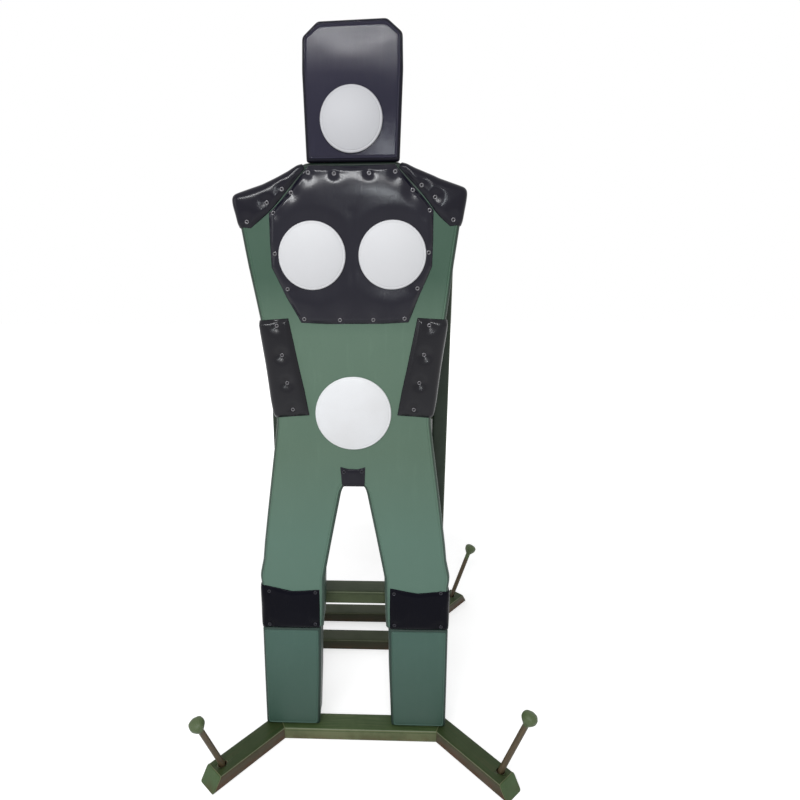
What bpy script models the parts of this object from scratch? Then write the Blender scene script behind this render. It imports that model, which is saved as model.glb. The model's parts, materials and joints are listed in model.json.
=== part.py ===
"""Padded strike dummy on a staked steel stand.

A flat human figure, plywood and foam under leatherette, is bolted upright to
a welded frame of rectangular steel tube. Four loose ground spikes pass
through the splayed feet and slide along their own tilted axes.

Metres, +Z up, the figure faces -Y. The origin is the middle of the front
crossbar's underside, so the ground is z = 0.
"""
import math

import bmesh
import bpy
import numpy as np
from mathutils import Matrix, Vector
from mathutils.geometry import delaunay_2d_cdt

# Driving sizes of the stand
GAP = 0.0003
TUBE_WIDE = 0.057
TUBE_FLAT = 0.037
TUBE_WALL = 0.0025
TUBE_CORNER = 0.005
REAR_BAR_Y = 0.5095
MIDDLE_BAR_Y = 0.364
FRONT_MITRE_X = 0.220
REAR_MITRE_X = 0.2545
FOOT_ANGLE = math.radians(48)
FRONT_FOOT_TOP = 0.221
REAR_FOOT_TOP = 0.152
FOOT_END_RUN = 0.024
RAIL_X = 0.189
POST_TOP = 1.360
KNEE_BAR_Z = 0.3925
WAIST_BAR_Z = 0.920
CHEST_BAR_Z = 1.300
BRACE_SIDE = 0.030
BRACE_TOP_Z = 0.960
BRACE_FOOT_Y = 0.440

# Driving sizes of the figure
BODY_X = -0.013
BODY_FRONT_Y = -0.0155
BODY_DEPTH = 0.0715
BOARD_THICK = 0.018
COVER_THICK = 0.0012
COVER_RETURN = 0.028
EDGE_ROUND = 0.010
EDGE_MID_INSET = 0.003
EDGE_MID_DEPTH = 0.003
LEATHER_THICK = 0.0022
PANEL_RISE = 0.0045
PANEL_RAMP = 0.014
TUFT_DEPTH = 0.0035
TUFT_RADIUS = 0.011
WRAP_DEPTH = 0.046
HEAD_BOTTOM_Z = 1.4862
KNEE_SPLIT_Z = 0.3480
STAND_TOP_Z = TUBE_FLAT + GAP

# Driving sizes of the targets and fasteners
HEAD_TARGET = (0.0, 1.567, 0.0646)
CHEST_TARGETS = {"left": (-0.087, 1.296, 0.073), "right": (0.087, 1.296, 0.073)}
BELLY_TARGET = (0.0, 0.937, 0.0888)
TARGET_EDGE = 0.003
TARGET_CROWN = 0.0125
RIVET_RADIUS = 0.005
RIVET_HEIGHT = 0.0030
RIVET_ROOT = 0.0015
BOLT_RADIUS = 0.005
BOLT_HEAD_RADIUS = 0.0098
BOLT_HEAD_HEIGHT = 0.0064
BOLT_FLANGE_RADIUS = 0.0125
BOLT_FLANGE_THICK = 0.002
NUT_BARREL_RADIUS = 0.0068
NUT_FLANGE_RADIUS = 0.0125
NUT_FLANGE_THICK = 0.0016
NUT_DEPTH = 0.014

# Driving sizes of the ground spikes
SPIKE_RADIUS = 0.0075
SPIKE_HOLE_RADIUS = 0.0096
SPIKE_POINT = 0.040
SPIKE_HEAD_RADIUS = 0.0190
SPIKE_HEAD_CONE = 0.022
SPIKE_HEAD_RIM = 0.004
SPIKE_HEAD_DOME = 0.0105
SPIKE_SHOWN = 0.1745
TIP_CLEARANCE = 0.0012
# Each spike leans its own way in its hole: degrees from upright, then the
# compass direction of the lean seen from above, from +X towards +Y
SPIKE_LEANS = {
    "front_left": (19.6, 227.0),
    "front_right": (20.2, 0.0),
    "rear_left": (22.0, 110.0),
    "rear_right": (26.0, 34.0),
}
# How far each spike stands drawn up out of the ground line
SPIKE_LIFTS = {"front_left": 0.0, "front_right": 0.0, "rear_left": 0.0, "rear_right": 0.019}
# Each spike hole: how far in from the foot's top end, and off its centre line to the outside
SPIKE_HOLES = {
    "front_left": (0.026, 0.0),
    "front_right": (0.024, 0.006),
    "rear_left": (0.030, 0.0),
    "rear_right": (0.034, 0.0),
}

# Half outlines of the figure, x outwards and z up, read down the right side
HEAD_HALF = [(0.0695, 1.7500), (0.1010, 1.7235), (0.1030, 1.6600), (0.0985, HEAD_BOTTOM_Z + GAP)]
BODY_HALF = [(0.0985, HEAD_BOTTOM_Z - GAP), (0.1040, 1.4829), (0.1320, 1.4670), (0.1860, 1.4440),
             (0.2475, 1.4240), (0.2465, 1.4080), (0.2420, 1.3850), (0.2375, 1.3550),
             (0.2315, 1.3100), (0.2205, 1.2300), (0.2100, 1.1550), (0.2042, 1.1050),
             (0.1985, 1.0550), (0.1895, 0.9700), (0.1830, 0.9262), (0.1830, 0.9110),
             (0.1915, 0.8480), (0.2005, 0.7850), (0.2155, 0.6800), (0.2275, 0.5930),
             (0.2325, 0.5480), (0.2415, 0.5080), (0.2425, 0.4960), (0.2400, 0.4740),
             (0.2400, 0.4120), (0.2415, 0.3600), (0.2415, KNEE_SPLIT_Z + GAP),
             (0.0820, KNEE_SPLIT_Z + GAP), (0.0790, 0.4100), (0.0780, 0.4500),
             (0.0770, 0.4950), (0.0545, 0.6150), (0.0310, 0.7350), (0.0245, 0.7500)]
SHIN_HALF = [(0.2435, KNEE_SPLIT_Z - GAP), (0.2455, 0.1900), (0.2470, STAND_TOP_Z),
             (0.0985, STAND_TOP_Z), (0.0920, 0.1900), (0.0890, KNEE_SPLIT_Z - GAP)]

# Where each cover's hem ends behind the board
HEAD_HEM = [(0.0560, 1.7220), (0.0750, 1.7040), (0.0750, 1.6600), (0.0705, 1.5145)]
BODY_HEM = [(0.0830, 1.4575), (0.2000, 1.4080), (0.2140, 1.3980), (0.2110, 1.3560),
            (0.1930, 1.2300), (0.1695, 1.0550), (0.1540, 0.9400), (0.1545, 0.9100),
            (0.1715, 0.7850), (0.1990, 0.5930), (0.2105, 0.5000), (0.2105, 0.3763),
            (0.1100, 0.3763), (0.1060, 0.4100), (0.1050, 0.5000), (0.0835, 0.6200),
            (0.0590, 0.7400), (0.0400, 0.7800)]
SHIN_HEM = [(0.2125, 0.3197), (0.2145, 0.1900), (0.2155, 0.0653), (0.1295, 0.0653),
            (0.1230, 0.1900), (0.1205, 0.3197)]

# Leather panels, in the figure's own x and z
CHEST_HALF = [(0.0915, 1.4800), (0.1258, 1.4410), (0.1530, 1.4115), (0.1762, 1.3870),
              (0.1768, 1.3250), (0.1760, 1.2720), (0.1490, 1.2110), (0.1205, 1.1500),
              (0.0600, 1.1470)]
CHEST_RIVETS = [(0.0368, 1.4630), (0.0915, 1.4655), (0.1285, 1.4270), (0.1665, 1.3865),
                (0.1668, 1.3010), (0.1430, 1.2250)]
CHEST_LOW_RIVETS = [(-0.1080, 1.1590), (-0.0280, 1.1565), (0.0465, 1.1565), (0.1130, 1.1590)]
CAP_WRAP = (1, 7)
CAP_INNER = [(0.2150, 1.3550), (0.1960, 1.3700), (0.1795, 1.3860), (0.1560, 1.4140),
             (0.1300, 1.4430)]
CAP_RIVETS = [(0.1475, 1.4355), (0.1785, 1.4100), (0.2210, 1.3680)]
FLANK_WRAP = (10, 14)
FLANK_INNER = [(0.1030, 0.9330), (0.1130, 0.9930), (0.1240, 1.0480), (0.1345, 1.1050),
               (0.1450, 1.1600)]
FLANK_RIVETS = [(0.1710, 1.1440), (0.1615, 1.0770), (0.1520, 1.0120), (0.1410, 0.9480)]
KNEE_WRAP = (23, 25)
KNEE_INNER = [(0.1650, 0.3500), (0.0935, 0.3560), (0.0905, 0.4080), (0.0905, 0.4680),
              (0.1600, 0.4640)]
KNEE_RIVETS = [(0.2200, 0.4600), (0.1010, 0.4570), (0.2230, 0.3620), (0.1030, 0.3640)]
CROTCH_PATCH = [(-0.0285, 0.7530), (0.0262, 0.7530), (0.0280, 0.8020), (-0.0322, 0.8020)]
CROTCH_RIVETS = [(-0.0235, 0.7910), (0.0195, 0.7920)]

# Bolts that hold the board to the crossbars, in the part's x and z
BOLT_PLACES = {"knee_left": (-0.163, KNEE_BAR_Z), "knee_right": (0.137, KNEE_BAR_Z),
               "waist_left": (-0.113, WAIST_BAR_Z), "waist_right": (0.087, WAIST_BAR_Z),
               "chest_left": (-0.143, CHEST_BAR_Z), "chest_right": (0.117, CHEST_BAR_Z)}

BOARD_DEPTH = BODY_DEPTH - COVER_THICK - GAP - BOARD_THICK
BOARD_FRONT_Y = BODY_FRONT_Y + BOARD_DEPTH
BODY_BACK_Y = BODY_FRONT_Y + BODY_DEPTH
POST_FRONT_Y = BODY_BACK_Y + GAP
POST_Y = POST_FRONT_Y + TUBE_WIDE / 2
POST_X = RAIL_X + (TUBE_WIDE - TUBE_FLAT) / 2


def clear_scene():
    """Remove the objects that a new scene starts with."""
    for existing in list(bpy.data.objects):
        bpy.data.objects.remove(existing, do_unlink=True)


def make_material(name, colour, roughness, metallic=0.0):
    """A Principled material of one colour."""
    material = bpy.data.materials.new(name)
    material.use_nodes = True
    shader = material.node_tree.nodes["Principled BSDF"]
    shader.inputs["Base Color"].default_value = (*colour, 1.0)
    shader.inputs["Roughness"].default_value = roughness
    shader.inputs["Metallic"].default_value = metallic
    return material


FINISHES = {
    "olive_paint": ((0.085, 0.105, 0.055), 0.55, 0.0),
    "spike_paint": ((0.070, 0.095, 0.040), 0.50, 0.0),
    "zinc_steel": ((0.45, 0.45, 0.43), 0.40, 1.0),
    "green_cover": ((0.125, 0.195, 0.140), 0.45, 0.0),
    "black_leather": ((0.020, 0.019, 0.024), 0.38, 0.0),
    "white_target": ((0.80, 0.80, 0.78), 0.50, 0.0),
    "foam": ((0.62, 0.58, 0.45), 0.90, 0.0),
    "plywood": ((0.46, 0.32, 0.18), 0.70, 0.0),
}


def finish_object(name, bm, finish, smooth_angle=None):
    """Turn a bmesh into a named object with a material of its own."""
    bmesh.ops.recalc_face_normals(bm, faces=bm.faces)
    mesh = bpy.data.meshes.new(name)
    bm.to_mesh(mesh)
    bm.free()
    if smooth_angle is not None:
        mesh.shade_smooth()
        mesh.set_sharp_from_angle(angle=math.radians(smooth_angle))
    colour, roughness, metallic = FINISHES[finish]
    mesh.materials.append(make_material(name + "_" + finish, colour, roughness, metallic))
    made = bpy.data.objects.new(name, mesh)
    bpy.context.scene.collection.objects.link(made)
    return made


def bridge(bm, ring_a, ring_b, closed=True):
    """Quads between two rings of vertices of equal length."""
    count = len(ring_a)
    last = count if closed else count - 1
    for index in range(last):
        following = (index + 1) % count
        bm.faces.new((ring_a[index], ring_a[following], ring_b[following], ring_b[index]))


# Turned pieces: a profile of radius and height spun about an axis

def turned(bm, profile, origin, direction, segments, hexagonal=()):
    """A closed turned solid; rings whose places are in hexagonal are six-sided."""
    turn_to = Vector(direction).to_track_quat("Z", "Y").to_matrix()
    origin = Vector(origin)
    rings = []
    for place, (radius, height) in enumerate(profile):
        if radius == 0:
            rings.append([bm.verts.new(origin + turn_to @ Vector((0, 0, height)))])
            continue
        ring = []
        for step in range(segments):
            angle = 2 * math.pi * step / segments
            reach = radius * (math.cos(math.pi / 6) if place in hexagonal and step % 2 else 1)
            spot = Vector((reach * math.cos(angle), reach * math.sin(angle), height))
            ring.append(bm.verts.new(origin + turn_to @ spot))
        rings.append(ring)
    for ring_a, ring_b in zip(rings, rings[1:]):
        if len(ring_a) == 1 or len(ring_b) == 1:
            tip, rim = (ring_a[0], ring_b) if len(ring_a) == 1 else (ring_b[0], ring_a)
            for index in range(segments):
                bm.faces.new((tip, rim[index], rim[(index + 1) % segments]))
        else:
            bridge(bm, ring_a, ring_b)
    for ring in (rings[0], rings[-1]):
        if len(ring) > 1:
            bm.faces.new(ring)


def ring_solid(bm, profile, origin, direction, segments):
    """A turned solid with a bore; the profile is a closed loop of radius and height."""
    turn_to = Vector(direction).to_track_quat("Z", "Y").to_matrix()
    origin = Vector(origin)
    rings = [[bm.verts.new(origin + turn_to @ Vector((
        radius * math.cos(2 * math.pi * step / segments),
        radius * math.sin(2 * math.pi * step / segments), height))) for step in range(segments)]
        for radius, height in profile]
    for index, ring in enumerate(rings):
        bridge(bm, ring, rings[(index + 1) % len(rings)])


# Frame tubes: a rounded rectangle swept between two end planes

def rounded_rectangle(width, height, radius, steps=2):
    """Corner arcs of a rounded rectangle, anticlockwise."""
    points = []
    for corner in range(4):
        turn = corner * math.pi / 2
        centre_x = (width / 2 - radius) * (1 if corner in (0, 3) else -1)
        centre_y = (height / 2 - radius) * (1 if corner in (0, 1) else -1)
        for step in range(steps + 1):
            angle = turn + step / steps * math.pi / 2
            points.append((centre_x + radius * math.cos(angle), centre_y + radius * math.sin(angle)))
    return points


def swept_ring(bm, profile, centre, side, up, along, plane):
    """The profile's points carried along the sweep until they meet a plane."""
    plane_point, plane_normal = plane
    ring = []
    for across, upward in profile:
        point = centre + side * across + up * upward
        travel = (plane_point - point).dot(plane_normal) / along.dot(plane_normal)
        ring.append(bm.verts.new(point + along * travel))
    return ring


def swept_tube(bm, centre, along, up, size, start, end, wall=TUBE_WALL, corner=TUBE_CORNER):
    """A tube of rounded rectangular section cut off by two planes; wall None is solid."""
    centre, along, up = Vector(centre), Vector(along).normalized(), Vector(up).normalized()
    side = along.cross(up).normalized()
    planes = [(Vector(point), Vector(normal)) for point, normal in (start, end)]
    outer_profile = rounded_rectangle(size[0], size[1], corner)
    outer = [swept_ring(bm, outer_profile, centre, side, up, along, plane) for plane in planes]
    bridge(bm, outer[0], outer[1])
    if wall is None:
        bm.faces.new(outer[0])
        bm.faces.new(outer[1])
        return
    inner_profile = rounded_rectangle(size[0] - 2 * wall, size[1] - 2 * wall, corner - wall)
    inner = [swept_ring(bm, inner_profile, centre, side, up, along, plane) for plane in planes]
    bridge(bm, inner[0], inner[1])
    bridge(bm, outer[0], inner[0])
    bridge(bm, outer[1], inner[1])


def straight_tube(name, start, end, up, size, **options):
    """A square-cut tube from one point to another."""
    start, end = Vector(start), Vector(end)
    along = (end - start).normalized()
    bm = bmesh.new()
    swept_tube(bm, start, along, up, size, (start, along), (end, along), **options)
    return finish_object(name, bm, "olive_paint", 30)


def cut_with(target, name, bm):
    """Take a guide shape, hidden from view and render, away from an object."""
    cutter = finish_object(target.name + "_" + name, bm, "plywood")
    cutter.hide_render = True
    cutter.display_type = "WIRE"
    cut = target.modifiers.new(name, "BOOLEAN")
    cut.operation = "DIFFERENCE"
    cut.solver = "EXACT"
    cut.object = cutter


def cut_hole(target, name, start, end, radius, segments=16):
    """Drill one round hole through an object."""
    run = Vector(end) - Vector(start)
    bm = bmesh.new()
    turned(bm, [(radius, 0), (radius, run.length)], start, run, segments)
    cut_with(target, name, bm)


def foot_frame(front, side):
    """A foot's mitre point, its direction and its top length."""
    turn = -FOOT_ANGLE if front else FOOT_ANGLE
    direction = Vector((side * math.cos(turn), math.sin(turn), 0))
    if front:
        return Vector((side * FRONT_MITRE_X, 0, TUBE_FLAT / 2)), direction, FRONT_FOOT_TOP
    return Vector((side * REAR_MITRE_X, REAR_BAR_Y, TUBE_FLAT / 2)), direction, REAR_FOOT_TOP


def mitre_plane(mitre, direction, side, offset):
    """The plane that halves the angle between a crossbar and its foot."""
    normal = (Vector((side, 0, 0)) + direction).normalized()
    return mitre + normal * offset, normal


def end_slope_plane(mitre, direction, top_length, offset):
    """The sloping end of a foot, further out at the ground than on top."""
    top = mitre + direction * top_length + Vector((0, 0, TUBE_FLAT / 2))
    down = direction * FOOT_END_RUN - Vector((0, 0, TUBE_FLAT))
    across = direction.cross(Vector((0, 0, 1)))
    normal = down.cross(across).normalized()
    if normal.dot(direction) < 0:
        normal.negate()
    return top + normal * offset, normal


def build_crossbar(name, y, front):
    """A base crossbar, mitred at both ends to meet the splayed feet."""
    bm = bmesh.new()
    planes = []
    for side in (-1, 1):
        mitre, direction, _ = foot_frame(front, side)
        planes.append(mitre_plane(mitre, direction, side, -GAP / 2))
    swept_tube(bm, (0, y, TUBE_FLAT / 2), (1, 0, 0), (0, 0, 1), (TUBE_WIDE, TUBE_FLAT), *planes)
    return finish_object(name, bm, "olive_paint", 30)


def spike_axis(place):
    """Where a spike crosses the top of its foot, and its upward direction."""
    row, hand = place.split("_")
    mitre, direction, top_length = foot_frame(row == "front", -1 if hand == "left" else 1)
    from_end, off_centre = SPIKE_HOLES[place]
    outer_side = Vector((abs(direction.y) * math.copysign(1, direction.x),
                         -abs(direction.x) * math.copysign(1, direction.y), 0))
    hole = mitre + direction * (top_length - from_end) + outer_side * off_centre
    hole.z = TUBE_FLAT
    lean, compass = (math.radians(value) for value in SPIKE_LEANS[place])
    upward = Vector((math.sin(lean) * math.cos(compass), math.sin(lean) * math.sin(compass),
                     math.cos(lean)))
    return hole, upward


def build_foot(place):
    """A splayed foot, its sloping end plate and the drilled spike hole."""
    row, hand = place.split("_")
    side = -1 if hand == "left" else 1
    mitre, direction, top_length = foot_frame(row == "front", side)
    bm = bmesh.new()
    swept_tube(bm, mitre, direction, (0, 0, 1), (TUBE_WIDE, TUBE_FLAT),
               mitre_plane(mitre, direction, side, GAP / 2),
               end_slope_plane(mitre, direction, top_length, -TUBE_WALL - GAP))
    foot = finish_object(row + "_foot_" + hand, bm, "olive_paint", 30)
    hole, upward = spike_axis(place)
    cut_hole(foot, "spike_hole", hole - upward * 0.12, hole + upward * 0.05, SPIKE_HOLE_RADIUS)
    bm = bmesh.new()
    swept_tube(bm, mitre, direction, (0, 0, 1), (TUBE_WIDE, TUBE_FLAT),
               end_slope_plane(mitre, direction, top_length, -TUBE_WALL),
               end_slope_plane(mitre, direction, top_length, 0), wall=None)
    finish_object(row + "_foot_end_plate_" + hand, bm, "olive_paint", 30)


def build_stand():
    """The welded base, posts, crossbars, braces and gussets."""
    section = (TUBE_WIDE, TUBE_FLAT)
    half = TUBE_WIDE / 2
    centre_z = TUBE_FLAT / 2
    build_crossbar("front_crossbar", 0, True)
    build_crossbar("rear_crossbar", REAR_BAR_Y, False)
    for place in SPIKE_LEANS:
        build_foot(place)
    rail_inner = RAIL_X - half
    straight_tube("middle_crossbar", (-rail_inner + GAP, MIDDLE_BAR_Y, centre_z),
                  (rail_inner - GAP, MIDDLE_BAR_Y, centre_z), (0, 0, 1), section)
    for hand, side in (("left", -1), ("right", 1)):
        straight_tube("side_rail_" + hand, (side * RAIL_X, half + GAP, centre_z),
                      (side * RAIL_X, REAR_BAR_Y - half - GAP, centre_z), (0, 0, 1), section)
        straight_tube("post_" + hand, (side * POST_X, POST_Y, TUBE_FLAT + GAP),
                      (side * POST_X, POST_Y, POST_TOP), (1, 0, 0), section)
        build_brace(hand, side)
        build_cap(hand, side)
    post_inner = POST_X - TUBE_FLAT / 2 - GAP
    for name, height in (("knee_crossbar", KNEE_BAR_Z), ("waist_crossbar", WAIST_BAR_Z),
                         ("chest_crossbar", CHEST_BAR_Z)):
        bar = straight_tube(name, (-post_inner, POST_Y, height), (post_inner, POST_Y, height),
                            (0, 0, 1), section)
        for place, (x, z) in BOLT_PLACES.items():
            if z == height:
                drill_through(bar, place + "_bolt_hole", x, z)


def drill_through(target, name, x, z):
    """A bolt hole from front to back through a crossbar that touches the board."""
    cut_hole(target, name, (x, POST_FRONT_Y - 0.01, z), (x, POST_FRONT_Y + TUBE_WIDE + 0.01, z),
             BOLT_RADIUS + 0.0005, 12)


def build_cap(hand, side):
    """A welded plate that closes the top of a post."""
    centre = Vector((side * POST_X, POST_Y, POST_TOP + GAP))
    top = centre + Vector((0, 0, TUBE_WALL))
    bm = bmesh.new()
    swept_tube(bm, centre, (0, 0, 1), (1, 0, 0), (TUBE_WIDE, TUBE_FLAT),
               (centre, (0, 0, 1)), (top, (0, 0, 1)), wall=None)
    finish_object("post_cap_" + hand, bm, "olive_paint", 30)


def build_brace(hand, side):
    """A sloping brace cut to sit flush on the post's back and the rail's top."""
    start = Vector((side * POST_X, POST_Y + TUBE_WIDE / 2 + GAP, BRACE_TOP_Z))
    end = Vector((side * POST_X, BRACE_FOOT_Y, TUBE_FLAT + GAP))
    bm = bmesh.new()
    swept_tube(bm, start, end - start, (1, 0, 0), (BRACE_SIDE, BRACE_SIDE),
               (start, (0, 1, 0)), (end, (0, 0, 1)), wall=0.002, corner=0.004)
    finish_object("brace_" + hand, bm, "olive_paint", 30)


# The figure's outlines and how far in or out a point of one moves

def mirrored(half):
    """A closed anticlockwise outline from a right half read from top to bottom."""
    right = [(x, z) for x, z in half]
    left = [(-x, z) for x, z in reversed(half)]
    return (right + left)[::-1]


def sided(side, points):
    """A leg's closed anticlockwise outline from its right side, read clockwise."""
    if side > 0:
        return points[::-1]
    return [(-x, z) for x, z in points]


def mitre_vectors(outline):
    """For each vertex, the outward step that moves both its edges out by one."""
    points = np.array(outline)
    before = points - np.roll(points, 1, axis=0)
    after = np.roll(points, -1, axis=0) - points
    vectors = []
    for a, b in zip(before, after):
        normal_a = np.array((a[1], -a[0])) / np.hypot(*a)
        normal_b = np.array((b[1], -b[0])) / np.hypot(*b)
        total = normal_a + normal_b
        vectors.append(total / max(0.35, 0.5 * total.dot(total)))
    return np.array(vectors)


class Outline:
    """A closed outline of the figure, anticlockwise seen from the front."""

    def __init__(self, points, shift=BODY_X):
        self.points = np.array(points)
        self.steps = mitre_vectors(points)
        self.shift = shift

    def ring(self, bm, inset, depth):
        """Vertices of the outline moved in by inset, at a depth behind the front."""
        moved = self.points - self.steps * inset
        return [bm.verts.new((x + self.shift, BODY_FRONT_Y + depth, z)) for x, z in moved]


HEAD = Outline(mirrored(HEAD_HALF))
BODY = Outline(mirrored(BODY_HALF))
PADS = {"head": (HEAD, mirrored(HEAD_HEM)), "body": (BODY, mirrored(BODY_HEM)),
        "shin_left": (Outline(sided(-1, SHIN_HALF)), sided(-1, SHIN_HEM)),
        "shin_right": (Outline(sided(1, SHIN_HALF)), sided(1, SHIN_HEM))}


def skin_path(offset):
    """Inset and depth of the skin's section, from its flat front round to its side."""
    return [(EDGE_ROUND, -offset),
            (EDGE_MID_INSET - 0.7 * offset, EDGE_MID_DEPTH - 0.7 * offset),
            (-offset, EDGE_ROUND)]


def layered_solid(outline, sections):
    """A closed solid through rings of the outline at given insets and depths."""
    bm = bmesh.new()
    rings = [outline.ring(bm, inset, depth) for inset, depth in sections]
    bm.faces.new(rings[0])
    for ring_a, ring_b in zip(rings, rings[1:]):
        bridge(bm, ring_a, ring_b)
    bm.faces.new(rings[-1])
    return bm


def notch_cover(cover, name, x_from, x_to, z):
    """Open a cover's end wall and hem where the board runs on into the next pad."""
    reach = COVER_RETURN + 0.003
    low = Vector((x_from + BODY_X, BOARD_FRONT_Y - GAP, z - reach))
    high = Vector((x_to + BODY_X, BODY_BACK_Y + 0.005, z + reach))
    bm = bmesh.new()
    bmesh.ops.create_cube(bm, size=1)
    bmesh.ops.scale(bm, vec=high - low, verts=bm.verts)
    bmesh.ops.translate(bm, vec=(high + low) / 2, verts=bm.verts)
    cut_with(cover, name, bm)


def build_cover(name, outline, hem, finish):
    """A stitched skin over front and sides, with its hem stapled behind the board."""
    cover = finish_object(name, layered_solid(outline, skin_path(0) + [(0, BODY_DEPTH)]), finish, 35)
    inner_path = skin_path(-COVER_THICK) + [(COVER_THICK, BODY_DEPTH - COVER_THICK)]
    cut_with(cover, "filling", layered_solid(outline, inner_path))
    past_back = BODY_DEPTH + 0.005
    cut_with(cover, "hem_opening", layered_solid(Outline(hem), [(0, BOARD_DEPTH), (0, past_back)]))
    return cover


def build_foam(name, outline):
    """The foam slab between a cover and the board."""
    inward = COVER_THICK + GAP
    sections = skin_path(-inward) + [(inward, BOARD_DEPTH - GAP)]
    return finish_object(name, layered_solid(outline, sections), "foam", 35)


def build_board():
    """One sheet of plywood cut to the whole figure, drilled for its nuts."""
    right = HEAD_HALF[:-1] + [(0.0960, HEAD_BOTTOM_Z - 0.0012)] + BODY_HALF[1:-8]
    right += [(0.2405, KNEE_SPLIT_Z)] + SHIN_HALF[1:5] + [(0.0900, KNEE_SPLIT_Z)] + BODY_HALF[-6:]
    inward = COVER_THICK + GAP
    sections = [(inward, BOARD_DEPTH), (inward, BOARD_DEPTH + BOARD_THICK)]
    board = finish_object("backing_board", layered_solid(Outline(mirrored(right)), sections), "plywood")
    for place, (x, z) in BOLT_PLACES.items():
        bm = bmesh.new()
        bore = [(NUT_FLANGE_RADIUS + GAP, -0.01), (NUT_FLANGE_RADIUS + GAP, NUT_FLANGE_THICK),
                (NUT_BARREL_RADIUS + GAP, NUT_FLANGE_THICK),
                (NUT_BARREL_RADIUS + GAP, BOARD_THICK + 0.01)]
        turned(bm, bore, (x, BOARD_FRONT_Y, z), (0, 1, 0), 12)
        cut_with(board, place + "_nut_hole", bm)
    return board


# Leather panels: a padded skin that rises from its edge and dips at each rivet

def edge_distance(points, outline):
    """Distance of each point from a closed outline."""
    outline = np.array(outline)
    ends = np.roll(outline, -1, axis=0)
    nearest = np.full(len(points), np.inf)
    for start, end in zip(outline, ends):
        run = end - start
        along = np.clip(((points - start) @ run) / run.dot(run), 0, 1)
        foot = start + along[:, None] * run
        nearest = np.minimum(nearest, np.hypot(*(points - foot).T))
    return nearest


def panel_height(points, outline, tufts, rise):
    """How far the padded skin stands out at each point."""
    distance = edge_distance(points, outline)
    ramp = np.clip(distance / PANEL_RAMP, 0, 1)
    height = rise * ramp * ramp * (3 - 2 * ramp)
    for tuft in tufts:
        away = np.hypot(*(points - np.array(tuft)).T)
        height = height - TUFT_DEPTH * np.exp(-(away / TUFT_RADIUS) ** 2)
    return LEATHER_THICK + np.maximum(height, 0)


def inner_points(outline, tufts, spacing):
    """Places inside a panel where its skin bends: a ring, a coarse grid and the tufts."""
    outline = np.array(outline)
    ring = outline - mitre_vectors(outline) * PANEL_RAMP
    low, high = outline.min(axis=0), outline.max(axis=0)
    grid = np.array([(x, z) for x in np.arange(low[0], high[0], spacing)
                     for z in np.arange(low[1], high[1], spacing)])
    turns = [math.pi / 3 * step for step in range(6)]
    around = [(x + TUFT_RADIUS * 1.3 * math.cos(turn), z + TUFT_RADIUS * 1.3 * math.sin(turn))
              for x, z in tufts for turn in turns]
    chosen = [tuple(point) for point in tufts]
    for candidates, room in ((around, 0.004), (ring, 0.009), (grid, 0.018)):
        for point in candidates:
            point = np.array(point)
            if not inside(point, outline) or edge_distance(point[None], outline)[0] < room:
                continue
            if all(np.hypot(*(point - other)) > 0.008 for other in chosen):
                chosen.append(tuple(point))
    return chosen


def inside(point, outline):
    """Whether a point lies within a closed outline."""
    x, z = point
    crossings = 0
    for (x1, z1), (x2, z2) in zip(outline, np.roll(outline, -1, axis=0)):
        if (z1 > z) != (z2 > z) and x < x1 + (z - z1) * (x2 - x1) / (z2 - z1):
            crossings += 1
    return crossings % 2 == 1


def build_panel(name, outline, tufts, rise=PANEL_RISE, wrap=None, spacing=0.045):
    """A leather panel with a flat back; wrap names the outline vertices that it laps over."""
    tufts = [np.array(tuft) for tuft in tufts]
    extra = inner_points(outline, tufts, spacing)
    flat = [tuple(point) for point in outline] + extra
    count = len(outline)
    result = delaunay_2d_cdt([Vector(point) for point in flat], [], [list(range(count))], 1, 1e-7)
    places = np.array([(vertex.x, vertex.y) for vertex in result[0]])
    heights = panel_height(places, outline, tufts, rise)
    heights[:count] = LEATHER_THICK
    front_y, back_y = BODY_FRONT_Y, BODY_FRONT_Y - GAP
    bm = bmesh.new()
    outer = [bm.verts.new((x + BODY_X, back_y - height, z)) for (x, z), height in zip(places, heights)]
    for face in result[2]:
        bm.faces.new([outer[index] for index in face])
    inner = [bm.verts.new((x + BODY_X, back_y, z)) for x, z in places[:count]]
    bm.faces.new(inner)
    if wrap is None:
        bridge(bm, outer[:count], inner)
        return finish_object(name, bm, "black_leather", 50)
    indices, first = wrap
    lap = len(indices)
    skins = []
    for skin, offset in ((outer, GAP + LEATHER_THICK), (inner, GAP)):
        rings = [skin[first:first + lap]]
        depths = [(EDGE_MID_INSET - 0.7 * offset, EDGE_MID_DEPTH - 0.7 * offset),
                  (-offset, EDGE_ROUND), (-offset, WRAP_DEPTH)]
        for inset, depth in depths:
            moved = BODY.points[indices] - BODY.steps[indices] * inset
            rings.append([bm.verts.new((x + BODY_X, front_y + depth, z)) for x, z in moved])
        for ring_a, ring_b in zip(rings, rings[1:]):
            bridge(bm, ring_a, ring_b, closed=False)
        skins.append(rings)
    bridge(bm, skins[0][-1], skins[1][-1], closed=False)
    for end in (0, -1):
        for step in range(3):
            bm.faces.new((skins[0][step][end], skins[0][step + 1][end],
                          skins[1][step + 1][end], skins[1][step][end]))
    rim = list(range(first + lap - 1, count)) + list(range(0, first + 1))
    bridge(bm, [outer[index] for index in rim], [inner[index] for index in rim], closed=False)
    return finish_object(name, bm, "black_leather", 50)


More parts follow.
